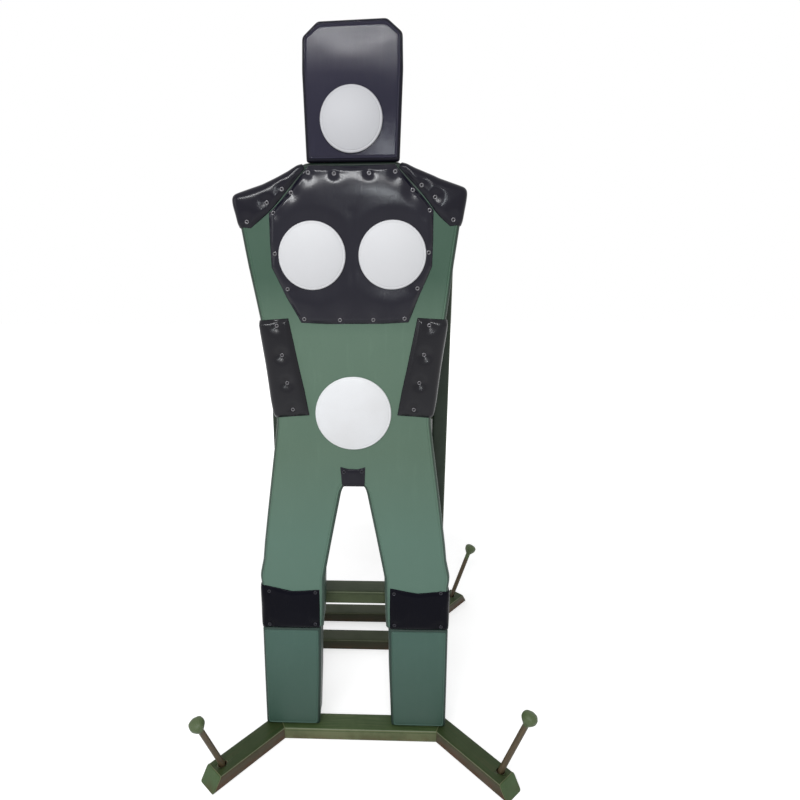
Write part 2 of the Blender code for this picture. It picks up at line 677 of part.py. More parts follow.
def wrapped_outline(side, wrap, inner):
    """A panel's flat outline, part of it along the figure's rounded edge, and its wrap."""
    total = len(BODY.points)
    half = len(BODY_HALF)
    first, last = wrap
    if side > 0:
        indices = [total - 1 - index for index in range(last, first - 1, -1)]
        loose = [(x, z) for x, z in reversed(inner)]
    else:
        indices = [total - 1 - (2 * half - 1 - index) for index in range(first, last + 1)]
        loose = [(-x, z) for x, z in inner]
    edge = BODY.points[indices] - BODY.steps[indices] * EDGE_ROUND
    return [tuple(point) for point in edge] + loose, (indices, 0)


def side_tufts(side, rivets):
    """One side's rivet places."""
    return [(side * x, z) for x, z in rivets]


def seat_rivets(panel, outline, tufts, rise):
    """Domed rivets set into a panel's tufts, one piece with the leather they clench."""
    profile = [(RIVET_RADIUS, -RIVET_ROOT), (RIVET_RADIUS, RIVET_HEIGHT * 0.4),
               (RIVET_RADIUS * 0.62, RIVET_HEIGHT * 0.85), (0, RIVET_HEIGHT)]
    heights = panel_height(np.array(tufts), outline, tufts, rise)
    bm = bmesh.new()
    for (x, z), height in zip(tufts, heights):
        origin = (x + BODY_X, BODY_FRONT_Y - GAP - height, z)
        turned(bm, profile, origin, (0, -1, 0), 8)
    rivets = finish_object(panel.name + "_rivets", bm, "black_leather", 50)
    rivets.hide_render = True
    rivets.display_type = "WIRE"
    union = panel.modifiers.new("rivets", "BOOLEAN")
    union.operation = "UNION"
    union.solver = "EXACT"
    union.object = rivets


def build_leather():
    """The chest, shoulder, flank, crotch and knee leathers."""
    chest = mirrored(CHEST_HALF)
    tufts = side_tufts(1, CHEST_RIVETS) + side_tufts(-1, CHEST_RIVETS) + CHEST_LOW_RIVETS
    seat_rivets(build_panel("chest_panel", chest, tufts), chest, tufts, PANEL_RISE)
    for hand, side in (("left", -1), ("right", 1)):
        for name, wrap, inner, rivets, rise in (
                ("shoulder_cap_", CAP_WRAP, CAP_INNER, CAP_RIVETS, 0.003),
                ("flank_panel_", FLANK_WRAP, FLANK_INNER, FLANK_RIVETS, 0.004),
                ("knee_band_", KNEE_WRAP, KNEE_INNER, KNEE_RIVETS, 0.004)):
            outline, lap = wrapped_outline(side, wrap, inner)
            tufts = side_tufts(side, rivets)
            panel = build_panel(name + hand, outline, tufts, rise, lap)
            seat_rivets(panel, outline, tufts, rise)
    patch = build_panel("crotch_patch", CROTCH_PATCH, CROTCH_RIVETS, 0.002)
    seat_rivets(patch, CROTCH_PATCH, CROTCH_RIVETS, 0.002)


def build_target(name, place, standing):
    """A padded round target with a soft crown, sewn to what lies under it."""
    x, z, radius = place
    crown = [(radius * math.cos(angle), TARGET_EDGE + (TARGET_CROWN - TARGET_EDGE) * math.sin(angle))
             for angle in (math.radians(step) for step in (0, 22, 50))]
    profile = [(radius - 0.001, 0)] + crown + [(0, TARGET_CROWN)]
    bm = bmesh.new()
    origin = (x + BODY_X, BODY_FRONT_Y - standing - GAP, z)
    turned(bm, profile, origin, (0, -1, 0), 32)
    return finish_object(name, bm, "white_target", 40)


def build_targets():
    """One head, two chest and one belly target."""
    chest_face = LEATHER_THICK + PANEL_RISE + GAP
    build_target("target_head", HEAD_TARGET, 0)
    for hand, place in CHEST_TARGETS.items():
        build_target("target_chest_" + hand, place, chest_face)
    build_target("target_belly", BELLY_TARGET, 0)


def build_fasteners():
    """Flanged bolts from behind and the nuts they meet, sunk in the board's front."""
    nut_front = BOARD_FRONT_Y - GAP / 2
    seat = POST_FRONT_Y + TUBE_WIDE + GAP
    reach = seat - nut_front - 0.001
    bolt = [(BOLT_RADIUS, -reach), (BOLT_RADIUS, 0), (BOLT_FLANGE_RADIUS, 0),
            (BOLT_FLANGE_RADIUS, BOLT_FLANGE_THICK), (BOLT_HEAD_RADIUS, BOLT_FLANGE_THICK),
            (BOLT_HEAD_RADIUS, BOLT_HEAD_HEIGHT), (BOLT_HEAD_RADIUS * 0.9, BOLT_HEAD_HEIGHT + 0.0006)]
    nut = [(BOLT_RADIUS + GAP, 0), (NUT_FLANGE_RADIUS, 0), (NUT_FLANGE_RADIUS, NUT_FLANGE_THICK),
           (NUT_BARREL_RADIUS, NUT_FLANGE_THICK), (NUT_BARREL_RADIUS, NUT_DEPTH),
           (BOLT_RADIUS + GAP, NUT_DEPTH)]
    for place, (x, z) in BOLT_PLACES.items():
        bm = bmesh.new()
        turned(bm, bolt, (x, seat, z), (0, 1, 0), 12, hexagonal=(4, 5, 6))
        finish_object("board_bolt_" + place, bm, "zinc_steel", 40)
        bm = bmesh.new()
        ring_solid(bm, nut, (x, nut_front, z), (0, 1, 0), 12)
        finish_object("board_nut_" + place, bm, "zinc_steel", 40)


def build_spike(place):
    """A pointed steel spike with a flared, domed head, free to slide in its foot."""
    hole, upward = spike_axis(place)
    inside_foot = TUBE_FLAT / math.cos(math.radians(SPIKE_LEANS[place][0]))
    below = inside_foot - TIP_CLEARANCE - SPIKE_LIFTS[place]
    top = SPIKE_SHOWN + SPIKE_LIFTS[place]
    neck = top - SPIKE_HEAD_CONE
    profile = [(0, -below), (SPIKE_RADIUS * 0.35, -below + SPIKE_POINT * 0.25),
               (SPIKE_RADIUS, -below + SPIKE_POINT), (SPIKE_RADIUS, neck),
               (SPIKE_HEAD_RADIUS * 0.63, neck + SPIKE_HEAD_CONE * 0.35),
               (SPIKE_HEAD_RADIUS * 0.87, neck + SPIKE_HEAD_CONE * 0.70),
               (SPIKE_HEAD_RADIUS, top), (SPIKE_HEAD_RADIUS, top + SPIKE_HEAD_RIM),
               (SPIKE_HEAD_RADIUS * 0.82, top + SPIKE_HEAD_RIM + SPIKE_HEAD_DOME * 0.55),
               (SPIKE_HEAD_RADIUS * 0.46, top + SPIKE_HEAD_RIM + SPIKE_HEAD_DOME * 0.89),
               (0, top + SPIKE_HEAD_RIM + SPIKE_HEAD_DOME)]
    bm = bmesh.new()
    turned(bm, profile, (0, 0, 0), (0, 0, 1), 16)
    spike = finish_object("ground_spike_" + place, bm, "spike_paint", 35)
    spike.rotation_mode = "QUATERNION"
    spike.rotation_quaternion = upward.to_track_quat("Z", "Y")
    spike.location = hole


def build_figure():
    """The board, foams, covers, leathers, targets and fasteners."""
    build_board()
    covers = {}
    for name, (outline, hem) in PADS.items():
        build_foam(name + "_foam", outline)
        finish = "black_leather" if name == "head" else "green_cover"
        covers[name] = build_cover(name + "_cover", outline, hem, finish)
    for name in ("head", "body"):
        notch_cover(covers[name], "neck_notch", -0.0968, 0.0968, HEAD_BOTTOM_Z)
    for name, hands in (("body", (-1, 1)), ("shin_left", (-1,)), ("shin_right", (1,))):
        for side in hands:
            x_from, x_to = sorted((side * 0.0905, side * 0.2400))
            notch_cover(covers[name], "knee_notch_%+d" % side, x_from, x_to, KNEE_SPLIT_Z)
    build_leather()
    build_targets()
    build_fasteners()


clear_scene()
build_stand()
build_figure()
for spike_place in SPIKE_LEANS:
    build_spike(spike_place)
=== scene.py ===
"""A padded strike dummy on a staked steel stand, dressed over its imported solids.

The stand is welded from rectangular steel tube; the figure is plywood and
foam under leatherette, with leather panels, rivets and round white targets;
four loose ground spikes pass through the feet.  Metres, z up, the figure
faces -Y, and the ground is z = 0.
"""
import json
import math
from functools import cached_property

import bmesh
import bpy
import numpy as np
from mathutils import Matrix

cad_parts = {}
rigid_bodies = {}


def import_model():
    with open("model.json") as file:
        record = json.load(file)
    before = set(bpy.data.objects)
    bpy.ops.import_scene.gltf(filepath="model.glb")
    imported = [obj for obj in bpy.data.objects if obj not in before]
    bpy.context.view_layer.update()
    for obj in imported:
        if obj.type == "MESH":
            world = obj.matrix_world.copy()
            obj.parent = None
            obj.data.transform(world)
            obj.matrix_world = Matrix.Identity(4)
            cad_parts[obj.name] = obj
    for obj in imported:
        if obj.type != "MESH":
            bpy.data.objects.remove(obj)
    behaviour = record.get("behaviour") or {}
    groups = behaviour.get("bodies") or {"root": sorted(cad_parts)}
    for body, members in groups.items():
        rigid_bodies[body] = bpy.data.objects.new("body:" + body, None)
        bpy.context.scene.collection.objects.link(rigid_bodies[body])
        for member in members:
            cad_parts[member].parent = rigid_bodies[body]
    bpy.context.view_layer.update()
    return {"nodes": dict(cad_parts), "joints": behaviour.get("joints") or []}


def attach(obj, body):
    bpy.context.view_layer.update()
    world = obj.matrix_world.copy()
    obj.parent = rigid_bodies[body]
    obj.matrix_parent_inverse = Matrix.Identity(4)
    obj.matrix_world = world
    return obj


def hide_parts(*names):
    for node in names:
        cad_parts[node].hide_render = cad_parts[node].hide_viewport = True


for leftover in list(bpy.data.objects):
    bpy.data.objects.remove(leftover, do_unlink=True)
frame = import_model()

# Stage.  A pale floor in a white room, a bright strip lamp high in front of the
# figure, a small window lamp and a weak side lamp; the camera stands a little
# above the chest, tipped down and slightly rolled, its frame pushed to the right.


class Nodes:
    """A node tree and the ways in which nodes are added to it."""

    def __init__(self, tree):
        self.tree = tree

    def add(self, kind, inputs=None, **settings):
        """One shader node; an input that is a socket is linked, any other is set."""
        made = self.tree.nodes.new("ShaderNode" + kind)
        for key, value in settings.items():
            setattr(made, key, value)
        for key, value in (inputs or {}).items():
            if isinstance(value, bpy.types.NodeSocket):
                self.tree.links.new(value, made.inputs[key])
            else:
                made.inputs[key].default_value = value
        return made

    def work_out(self, operation, first, second=0.0, clamp=False):
        """A Math node's result."""
        return self.add("Math", {0: first, 1: second}, operation=operation, use_clamp=clamp).outputs[0]

    def times(self, first, second, clamp=False):
        """Two values multiplied."""
        return self.work_out("MULTIPLY", first, second, clamp)

    def spread(self, value, low, high, to_low=0.0, to_high=1.0):
        """A value's range stretched to another and held there."""
        return self.add("MapRange", {"Value": value, "From Min": low, "From Max": high,
                                     "To Min": to_low, "To Max": to_high}).outputs[0]

    def seen(self):
        """One for rays from the camera, in gloss or through glass, else nought."""
        rays = self.add("LightPath").outputs
        either = self.work_out("MAXIMUM", rays["Is Camera Ray"], rays["Is Glossy Ray"])
        return self.work_out("MAXIMUM", either, rays["Is Transmission Ray"])


def add_object(name, data):
    """A new object in the scene."""
    made = bpy.data.objects.new(name, data)
    bpy.context.scene.collection.objects.link(made)
    return made


def unit(vector):
    """A vector, or each row of an array, brought to length 1."""
    vector = np.asarray(vector, float)
    return vector / np.linalg.norm(vector, axis=-1, keepdims=True)


def stand_at(made, place, *axes):
    """Put an object at a place with its own x, y and z along three directions."""
    made.matrix_world = Matrix.Translation(place) @ Matrix(np.stack(axes, 1).tolist()).to_4x4()


FLOOR_HALF = 9.0
floor_mesh = bpy.data.meshes.new("floor")
floor_mesh.from_pydata([(x * FLOOR_HALF, y * FLOOR_HALF, 0) for x, y in ((-1, -1), (1, -1), (1, 1), (-1, 1))],
                       [], [(0, 1, 2, 3)])
floor_paint = bpy.data.materials.new("pale_floor")
floor_paint.use_nodes = True
look = Nodes(floor_paint.node_tree)
look.tree.nodes.clear()
matt = look.add("BsdfDiffuse", {"Color": (0.84, 0.84, 0.84, 1)})
away = look.add("VectorMath", {0: look.add("TexCoord").outputs["Object"], 1: (0, 0.3, 0)},
                operation="DISTANCE").outputs["Value"]
glow = look.add("Emission", {"Color": (1, 1, 1, 1),
                             "Strength": look.times(look.seen(), look.spread(away, 0.9, 2.2, 0.55, 1.0))})
both = look.add("AddShader", {0: matt.outputs[0], 1: glow.outputs[0]})
look.add("OutputMaterial", {"Surface": both.outputs[0]})
floor_mesh.materials.append(floor_paint)
add_object("floor", floor_mesh)

ROOM_LIGHT = 0.46
world = bpy.data.worlds.new("white_room")
bpy.context.scene.world = world
world.use_nodes = True
look = Nodes(world.node_tree)
look.tree.nodes.clear()
level = look.work_out("ADD", look.times(look.seen(), 1 - ROOM_LIGHT), ROOM_LIGHT)
room = look.add("Background", {"Color": (1, 1, 1, 1), "Strength": level})
look.add("OutputWorld", {"Surface": room.outputs[0]})


def hang_lamp(name, place, aim, size, power, colour):
    """A rectangular soft lamp at a place, turned to face a point."""
    data = bpy.data.lights.new(name, "AREA")
    data.shape, data.energy, data.color = "RECTANGLE", power, colour
    data.size, data.size_y = size
    back = unit(np.subtract(place, aim))
    across = unit(np.cross((0, 0, 1), back))
    stand_at(add_object(name, data), place, across, np.cross(back, across), back)


hang_lamp("strip_lamp", (-0.40, -2.0, 2.43), (0, 0, 1.05), (1.5, 0.05), 36, (0.98, 0.99, 1.0))
hang_lamp("window_lamp", (0.14, -2.0, 1.79), (0, 0, 1.5), (0.18, 0.12), 3.6, (0.90, 0.96, 1.0))
hang_lamp("side_lamp", (-2.4, -1.2, 1.9), (0, 0, 1.0), (0.9, 1.4), 7, (0.94, 0.97, 1.0))

CAMERA_AT = (0.031, -1.2775, 1.307)
yaw, pitch, roll = (math.radians(angle) for angle in (2.335, 14.964, 0.499))
camera_data = bpy.data.cameras.new("photo_camera")
camera_data.sensor_width, camera_data.lens = 36, 25.2045
camera_data.shift_x, camera_data.clip_start = 0.0625, 0.01
camera = add_object("photo_camera", camera_data)
forward = np.array((-math.sin(yaw) * math.cos(pitch), math.cos(yaw) * math.cos(pitch), -math.sin(pitch)))
rightward = np.array((math.cos(yaw), math.sin(yaw), 0))
downward = np.cross(forward, rightward)
stand_at(camera, CAMERA_AT, math.cos(roll) * rightward + math.sin(roll) * downward,
         math.sin(roll) * rightward - math.cos(roll) * downward, -forward)
bpy.context.scene.camera = camera
bpy.context.scene.view_settings.view_transform = "Standard"

# Base frame.  The front and rear crossbars, the four splayed feet mitred to
# them, the side rails and the middle crossbar are rectangular steel tube,
# welded and brushed with olive paint that has rusted low down.  Its lighter
# fronts and pale upper corners are painted light; the rear tubes' darker paint
# is painted shade, and the feet's brown sides are rust with painted shade.
ROOT = "stand_and_figure"
HANDS = (("left", -1), ("right", 1))
GAP = 0.0003
TUBE = (0.057, 0.037)
TUBE_WALL = 0.0025
REAR_BAR_Y = 0.5095
MIDDLE_BAR_Y = 0.364
MITRE_X = {"front": 0.220, "rear": 0.2545}
FOOT_ANGLE = math.radians(48)
FOOT_TOP = {"front": 0.221, "rear": 0.152}
FOOT_END_RUN = 0.024
RAIL_X = 0.189
SPIKE_HOLES = {"front_left": (0.026, 0.0), "front_right": (0.024, 0.006),
               "rear_left": (0.030, 0.0), "rear_right": (0.034, 0.0)}
SPIKE_HOLE_RADIUS = 0.0096
TOP_MIDDLE = 0.03115
CORNER_AWAY = 0.0276


class Finish(Nodes):
    """A Principled material with its fixed values set, its Object place and the piece's own lay."""

    def __init__(self, name, **sockets):
        self.material = bpy.data.materials.new(name)
        self.material.use_nodes = True
        super().__init__(self.material.node_tree)
        self.shader = self.tree.nodes["Principled BSDF"]
        for key, value in sockets.items():
            self.shader.inputs[key.replace("_", " ").title().replace("Ior", "IOR")].default_value = value
        self.place = self.add("TexCoord").outputs["Object"]

    @cached_property
    def axes(self):
        """The x, y and z of the place."""
        return self.add("SeparateXYZ", {0: self.place}).outputs

    @cached_property
    def lay(self):
        """Three values that follow the piece's own surface, written on its mesh."""
        return self.add("Attribute", attribute_name="lay").outputs["Vector"]

    @cached_property
    def lay_axes(self):
        """The lay's three values apart."""
        return self.add("SeparateXYZ", {0: self.lay}).outputs

    def blend(self, share, first, second, kind="MIX"):
        """A Mix node's colour between two colours."""
        inputs = {key: (*value, 1) if isinstance(value, tuple) else value
                  for key, value in ((0, share), (6, first), (7, second))}
        return self.add("Mix", inputs, data_type="RGBA", blend_type=kind).outputs[2]

    def noise(self, place, scale, detail=2.0, rough=0.5, stretch=None):
        """Noise at a place, its pattern drawn out by a stretch of x, y and z."""
        if stretch is not None:
            place = self.add("Mapping", {"Vector": place, "Scale": stretch}).outputs[0]
        return self.add("TexNoise", {"Vector": place, "Scale": scale, "Detail": detail,
                                     "Roughness": rough}).outputs[0]

    def finish(self, colour, gloss, *layers):
        """The material with its colour and roughness, and bump layers of height, strength and real depth."""
        links = {"Base Color": colour, "Roughness": gloss}
        normal = {}
        for height, strength, depth in layers:
            bump = self.add("Bump", {"Height": height, "Strength": strength, "Distance": depth, **normal})
            normal = {"Normal": bump.outputs[0]}
        for key, socket in {**links, **normal}.items():
            self.tree.links.new(socket, self.shader.inputs[key])
        return self.material


def toned(colour, share, lift=0.0):
    """A colour with its channels multiplied and lifted, up to 1."""
    return tuple(np.minimum(np.array(colour) * share + lift, 1).tolist())


def olive_paint(name, paint, side, rust_share, corner_highlight_share=0.6):
    """Brushed olive paint: the top in the paint's colour and the sides in a second colour given per paint, which is
    painted light on fronts that catch the lamps and painted shade on tubes behind the figure; a painted highlight
    along the upper corners; rust near the ground.

    Top, corner and side are told by how far round the tube a point is from the middle of its top.
    """
    look = Finish(name, specular_ior_level=0.22)
    streaks = look.noise(look.lay, 1.0, 3, 0.6, stretch=(420, 9, 0))
    patches = look.noise(look.place, 14, 4, 0.6)
    fine = look.noise(look.place, 260, 3, 0.6)
    away = look.work_out("ABSOLUTE", look.work_out("SUBTRACT", look.lay_axes["X"], TOP_MIDDLE))
    # The sides take the side colour: painted light on the lit base and crossbar fronts, painted shade on the tubes
    # behind the figure.
    colour = look.blend(look.spread(away, 0.0262, 0.0290), paint, side)
    colour = look.blend(look.spread(streaks, 0.35, 0.75, 0, 0.35), colour, toned(side, 1.5))
    colour = look.blend(look.spread(patches, 0.4, 0.75, 0, 0.5), colour, toned(paint, 0.62))
    # A pale line along the upper corners: a painted highlight where the edge catches the light.
    edge = look.spread(look.work_out("ABSOLUTE", look.work_out("SUBTRACT", away, CORNER_AWAY)), 0.0019, 0.0006)
    edge = look.times(edge, look.spread(fine, 0.25, 0.5, 0.5, 1))
    colour = look.blend(look.times(edge, corner_highlight_share), colour, (0.25, 0.28, 0.18))
    blotches = look.spread(look.noise(look.place, 38, 5, 0.65), 0.38, 0.58)
    rust = look.times(look.times(look.spread(look.axes["Z"], 0.022, 0.001), blotches), rust_share, True)
    colour = look.blend(rust, colour, look.blend(fine, (0.12, 0.052, 0.024), (0.055, 0.028, 0.016)))
    gloss = look.work_out("ADD", look.spread(patches, 0.3, 0.7, 0.36, 0.52), look.times(rust, 0.3))
    return look.finish(colour, gloss, (streaks, 0.25, 0.0004), (fine, 0.3, 0.0003), (rust, 0.4, 0.0005))


def lattice(rows, columns, close_rows, close_columns):
    """The quads of a grid of points numbered row by row, closed either way."""
    index = np.arange(rows * columns).reshape(rows, columns)
    if close_rows:
        index = np.vstack((index, index[:1]))
    if close_columns:
        index = np.hstack((index, index[:, :1]))
    return np.stack((index[:-1, :-1], index[:-1, 1:], index[1:, 1:], index[1:, :-1]), -1).reshape(-1, 4)


def make_piece(name, blocks, material, body=ROOT, replaces=(), sharp=40, caps=()):
    """One mesh from grids of points; each block is (points, close rows, close columns, lay)."""
    corners, faces, lays, first = [], [], [], 0
    for points, close_rows, close_columns, lay in blocks:
        rows, columns = points.shape[:2]
        faces.append(lattice(rows, columns, close_rows, close_columns) + first)
        corners.append(points.reshape(-1, 3))
        lays.append(np.zeros((rows * columns, 3)) if lay is None else lay.reshape(-1, 3))
        first += rows * columns
    mesh = bpy.data.meshes.new(name)
    mesh.from_pydata(np.vstack(corners).tolist(), [], np.vstack(faces).tolist() + [list(cap) for cap in caps])
    mesh.attributes.new("lay", "FLOAT_VECTOR", "POINT").data.foreach_set(
        "vector", np.vstack(lays).astype(np.float32).ravel())
    bm = bmesh.new()
    bm.from_mesh(mesh)
    bmesh.ops.remove_doubles(bm, verts=bm.verts, dist=2e-6)
    bmesh.ops.recalc_face_normals(bm, faces=bm.faces)
    bm.to_mesh(mesh)
    bm.free()
    mesh.shade_smooth()
    mesh.set_sharp_from_angle(angle=math.radians(sharp))
    mesh.materials.append(material)
    made = add_object(name, mesh)
    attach(made, body)
    if replaces:
        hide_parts(*replaces)
    return made


def laid(points, *values):
    """The lay of a grid: three values for each of its points."""
    return np.stack([np.broadcast_to(value, points.shape[:2]) for value in values], -1)


def rounded_rectangle(size, radius, arc_steps=5, flat_steps=4):
    """Corner arcs joined by divided flats, with a mark of 1 on the arcs and the distance round."""
    width, height = size
    centre = np.stack(((width / 2 - radius) * np.array((1, -1, -1, 1)),
                       (height / 2 - radius) * np.array((1, 1, -1, -1))), 1)
    angle = np.arange(4)[:, None] * math.pi / 2 + np.linspace(0, math.pi / 2, arc_steps + 1)
    arcs = centre[:, None] + radius * np.stack((np.cos(angle), np.sin(angle)), -1)
    share = (np.arange(1, flat_steps) / flat_steps)[None, :, None]
    flats = arcs[:, -1:] * (1 - share) + np.roll(arcs[:, :1], -1, axis=0) * share
    mark = np.concatenate((np.ones((4, arc_steps + 1)), np.zeros((4, flat_steps - 1))), 1).ravel()
    profile = np.concatenate((arcs, flats), 1).reshape(-1, 2)
    steps = np.hypot(*(profile - np.roll(profile, 1, axis=0)).T)
    steps[0] = 0
    return profile, mark, np.cumsum(steps)


def squared(centre, along, up):
    """A centre, a direction of length 1 and an up of length 1 square to it."""
    along = unit(along)
    return np.array(centre, float), along, unit(np.array(up, float) - along * (np.array(up, float) @ along))


def meet_plane(profile, centre, along, up, plane):
    """The profile's points carried along the sweep until they meet a plane."""
    points = centre + profile[:, :1] * np.cross(along, up) + profile[:, 1:] * up
    travel = ((plane[0] - points) @ plane[1]) / (along @ plane[1])
    return points + travel[:, None] * along


def square_cut(centre, axis, *places):
    """Centre, direction, up and planes for a run along x, y or z, axis 0, 1 or 2, cut square at places on it."""
    along = np.eye(3)[axis]
    return (centre, along, (1, 0, 0) if axis == 2 else (0, 0, 1), *((along * place, along) for place in places))


def tube(centre, along, up, start, end, size=TUBE, wall=TUBE_WALL, corner=0.005, pitch=0.03):
    """A tube as one closed surface: out along its skin from plane to plane and back along its bore."""
    centre, along, up = squared(centre, along, up)
    profile, mark, around = rounded_rectangle(size, corner)
    bore = rounded_rectangle((size[0] - 2 * wall, size[1] - 2 * wall), max(corner - wall, 0.001))[0]
    outer, inner = ([meet_plane(shape, centre, along, up, plane) for plane in (start, end)]
                    for shape in (profile, bore))
    count = max(2, int(np.abs((outer[1] - outer[0]) @ along).max() / pitch))
    share = np.linspace(0, 1, count)[:, None, None]
    points = np.concatenate((outer[0] * (1 - share) + outer[1] * share, inner[1][None], inner[0][None]))
    return points, True, True, laid(points, around, (points - centre) @ along, mark)


def plate(centre, along, up, start, end, corner=0.005, chamfer=0.0008):
    """A solid slab of the tube's outline between two planes, closed by a point in the middle of each face."""
    centre, along, up = squared(centre, along, up)
    inward = np.sign(along @ start[1])
    rings = []
    for shrink, plane, back in ((1, start, 0), (chamfer, start, 0), (0, start, chamfer),
                                (0, end, -chamfer), (chamfer, end, 0), (1, end, 0)):
        cut = np.array(TUBE) - 2 * shrink if shrink < 1 else TUBE
        profile = rounded_rectangle(cut, corner)[0] * (1 if shrink < 1 else 0)
        rings.append(meet_plane(profile, centre, along, up, plane) + along * back * inward)
    points = np.array(rings)
    return points, False, True, laid(points, points[..., 0], points[..., 1],
                                     np.array((0, 0, 0.7, 0.7, 0, 0))[:, None])


def foot_of(place):
    """From a foot's place its row, hand, side, mitre point and direction."""
    row, hand = place.split("_")
    side = -1 if hand == "left" else 1
    turn = -FOOT_ANGLE if row == "front" else FOOT_ANGLE
    return (row, hand, side, np.array((side * MITRE_X[row], 0 if row == "front" else REAR_BAR_Y, TUBE[1] / 2)),
            np.array((side * math.cos(turn), math.sin(turn), 0)))


def mitre_plane(side, mitre, direction, offset):
    """The plane that halves the angle between a crossbar and its foot."""
    normal = unit(np.array((side, 0, 0)) + direction)
    return mitre + normal * offset, normal


def foot_end(row, mitre, direction, offset):
    """The sloping plane at a foot's outer end."""
    top = mitre + direction * FOOT_TOP[row] + np.array((0, 0, TUBE[1] / 2))
    normal = unit(direction * TUBE[1] + np.array((0, 0, FOOT_END_RUN)))
    return top + normal * offset, normal


def spike_hole(place):
    """Where a spike's axis crosses the top of its foot, and the axis, read from its joint."""
    row, hand, side, mitre, direction = foot_of(place)
    from_end, off_centre = SPIKE_HOLES[place]
    outer = np.array((abs(direction[1]) * np.sign(direction[0]), -abs(direction[0]) * np.sign(direction[1]), 0))
    spot = mitre + direction * (FOOT_TOP[row] - from_end) + outer * off_centre
    spot[2] = TUBE[1]
    axis = next(joint["axis"] for joint in frame["joints"] if joint["child"] == "spike_" + place)
    return spot, np.array(axis, float)


def turned(profile, origin, axis, segments):
    """A profile of radius and height spun round an axis: rows along it, columns round it."""
    profile, axis = np.array(profile, float), unit(axis)
    first = unit(np.cross(axis, (0, 1, 0) if abs(axis[1]) < 0.9 else (1, 0, 0)))
    angle = np.arange(segments) * 2 * math.pi / segments
    round_it = np.cos(angle)[:, None] * first + np.sin(angle)[:, None] * np.cross(axis, first)
    points = np.array(origin) + profile[:, :1, None] * round_it + profile[:, 1:, None] * axis
    return points, False, True, laid(points, angle, profile[:, 1:], profile[:, :1])


def drill(target, start, axis, length, radius):
    """Take a round bar out of a piece for good."""
    profile = [(0, 0), (radius, 0), (radius, length), (0, length)]
    bar = make_piece("drill", [turned(profile, start, axis, 32)], target.data.materials[0])
    cut = target.modifiers.new("hole", "BOOLEAN")
    cut.operation, cut.solver, cut.object = "DIFFERENCE", "EXACT", bar
    bpy.context.view_layer.update()
    drilled = bpy.data.meshes.new_from_object(target.evaluated_get(bpy.context.evaluated_depsgraph_get()))
    target.modifiers.clear()
    target.data = drilled
    bpy.data.objects.remove(bar, do_unlink=True)


def steel(name, block, paint, node, sharp=40):
    """A painted piece of the stand in place of its solid."""
    return make_piece(name, [block], paint, replaces=[node], sharp=sharp)


# The base's tan sides are painted light; the feet's brown sides are rust darkened as painted shade; the rear paint,
# on the rear and middle crossbars and side rails, is a darker copy painted as shade behind the figure.
base_paint = olive_paint("base_paint", (0.040, 0.076, 0.024), (0.142, 0.158, 0.076), 0.5)
foot_paint = olive_paint("foot_paint", (0.028, 0.054, 0.016), (0.062, 0.042, 0.020), 1.2, 0.45)
plate_paint = olive_paint("plate_paint", (0.066, 0.108, 0.044), (0.066, 0.108, 0.044), 0.4)
rear_paint = olive_paint("rear_paint", (0.024, 0.034, 0.011), (0.022, 0.020, 0.007), 0.5, 0.3)
for row, y, paint in (("front", 0.0, base_paint), ("rear", REAR_BAR_Y, rear_paint)):
    ends = [mitre_plane(*foot_of(row + "_" + hand)[2:], -GAP / 2) for hand, side in HANDS]
    steel(row + "_crossbar_tube", tube((0, y, TUBE[1] / 2), (1, 0, 0), (0, 0, 1), *ends), paint, row + "_crossbar")
for place in SPIKE_HOLES:
    row, hand, side, mitre, direction = foot_of(place)
    block = tube(mitre, direction, (0, 0, 1), mitre_plane(side, mitre, direction, GAP / 2),
                 foot_end(row, mitre, direction, -TUBE_WALL - GAP))
    foot = steel(row + "_foot_tube_" + hand, block, foot_paint, row + "_foot_" + hand)
    spot, axis = spike_hole(place)
    drill(foot, spot - axis * 0.10, axis, 0.15, SPIKE_HOLE_RADIUS)
    ends = [foot_end(row, mitre, direction, offset) for offset in (-TUBE_WALL, 0)]
    steel(row + "_foot_plate_" + hand, plate(mitre, direction, (0, 0, 1), *ends), plate_paint,
          row + "_foot_end_plate_" + hand, 25)
rail_inner = RAIL_X - TUBE[0] / 2
rail_ends = (TUBE[0] / 2 + GAP, REAR_BAR_Y - TUBE[0] / 2 - GAP)
block = tube(*square_cut((0, MIDDLE_BAR_Y, TUBE[1] / 2), 0, -rail_inner + GAP, rail_inner - GAP))
steel("middle_crossbar_tube", block, rear_paint, "middle_crossbar")
for hand, side in HANDS:
    steel("side_rail_tube_" + hand, tube(*square_cut((side * RAIL_X, 0, TUBE[1] / 2), 1, *rail_ends)), rear_paint,
          "side_rail_" + hand)

# Upright frame.  Two posts stand on the side rails, closed by welded caps and
# held back by sloping square braces, with three crossbars between them that
# carry the board; the same tube and olive paint with less rust than the base.
# The posts and braces take a darker copy of the paint as painted shade behind
# the figure, and the crossbars' lighter fronts are painted light.
POST_TOP = 1.360
POST_FRONT_Y = 0.0563
POST_Y = POST_FRONT_Y + TUBE[0] / 2
POST_X = RAIL_X + (TUBE[0] - TUBE[1]) / 2
POST_INNER = POST_X - TUBE[1] / 2 - GAP
BAR_HEIGHTS = {"knee": 0.3925, "waist": 0.920, "chest": 1.300}
BRACE_TOP_Z = 0.960
BRACE_FOOT_Y = 0.440
BRACE_SIZE = (0.030, 0.030)


def brace_ends(side):
    """The upright plane at a brace's top and the level one at its foot."""
    return ((np.array((side * POST_X, POST_Y + TUBE[0] / 2 + GAP, BRACE_TOP_Z)), (0, 1, 0)),
            (np.array((side * POST_X, BRACE_FOOT_Y, TUBE[1] + GAP)), (0, 0, 1)))
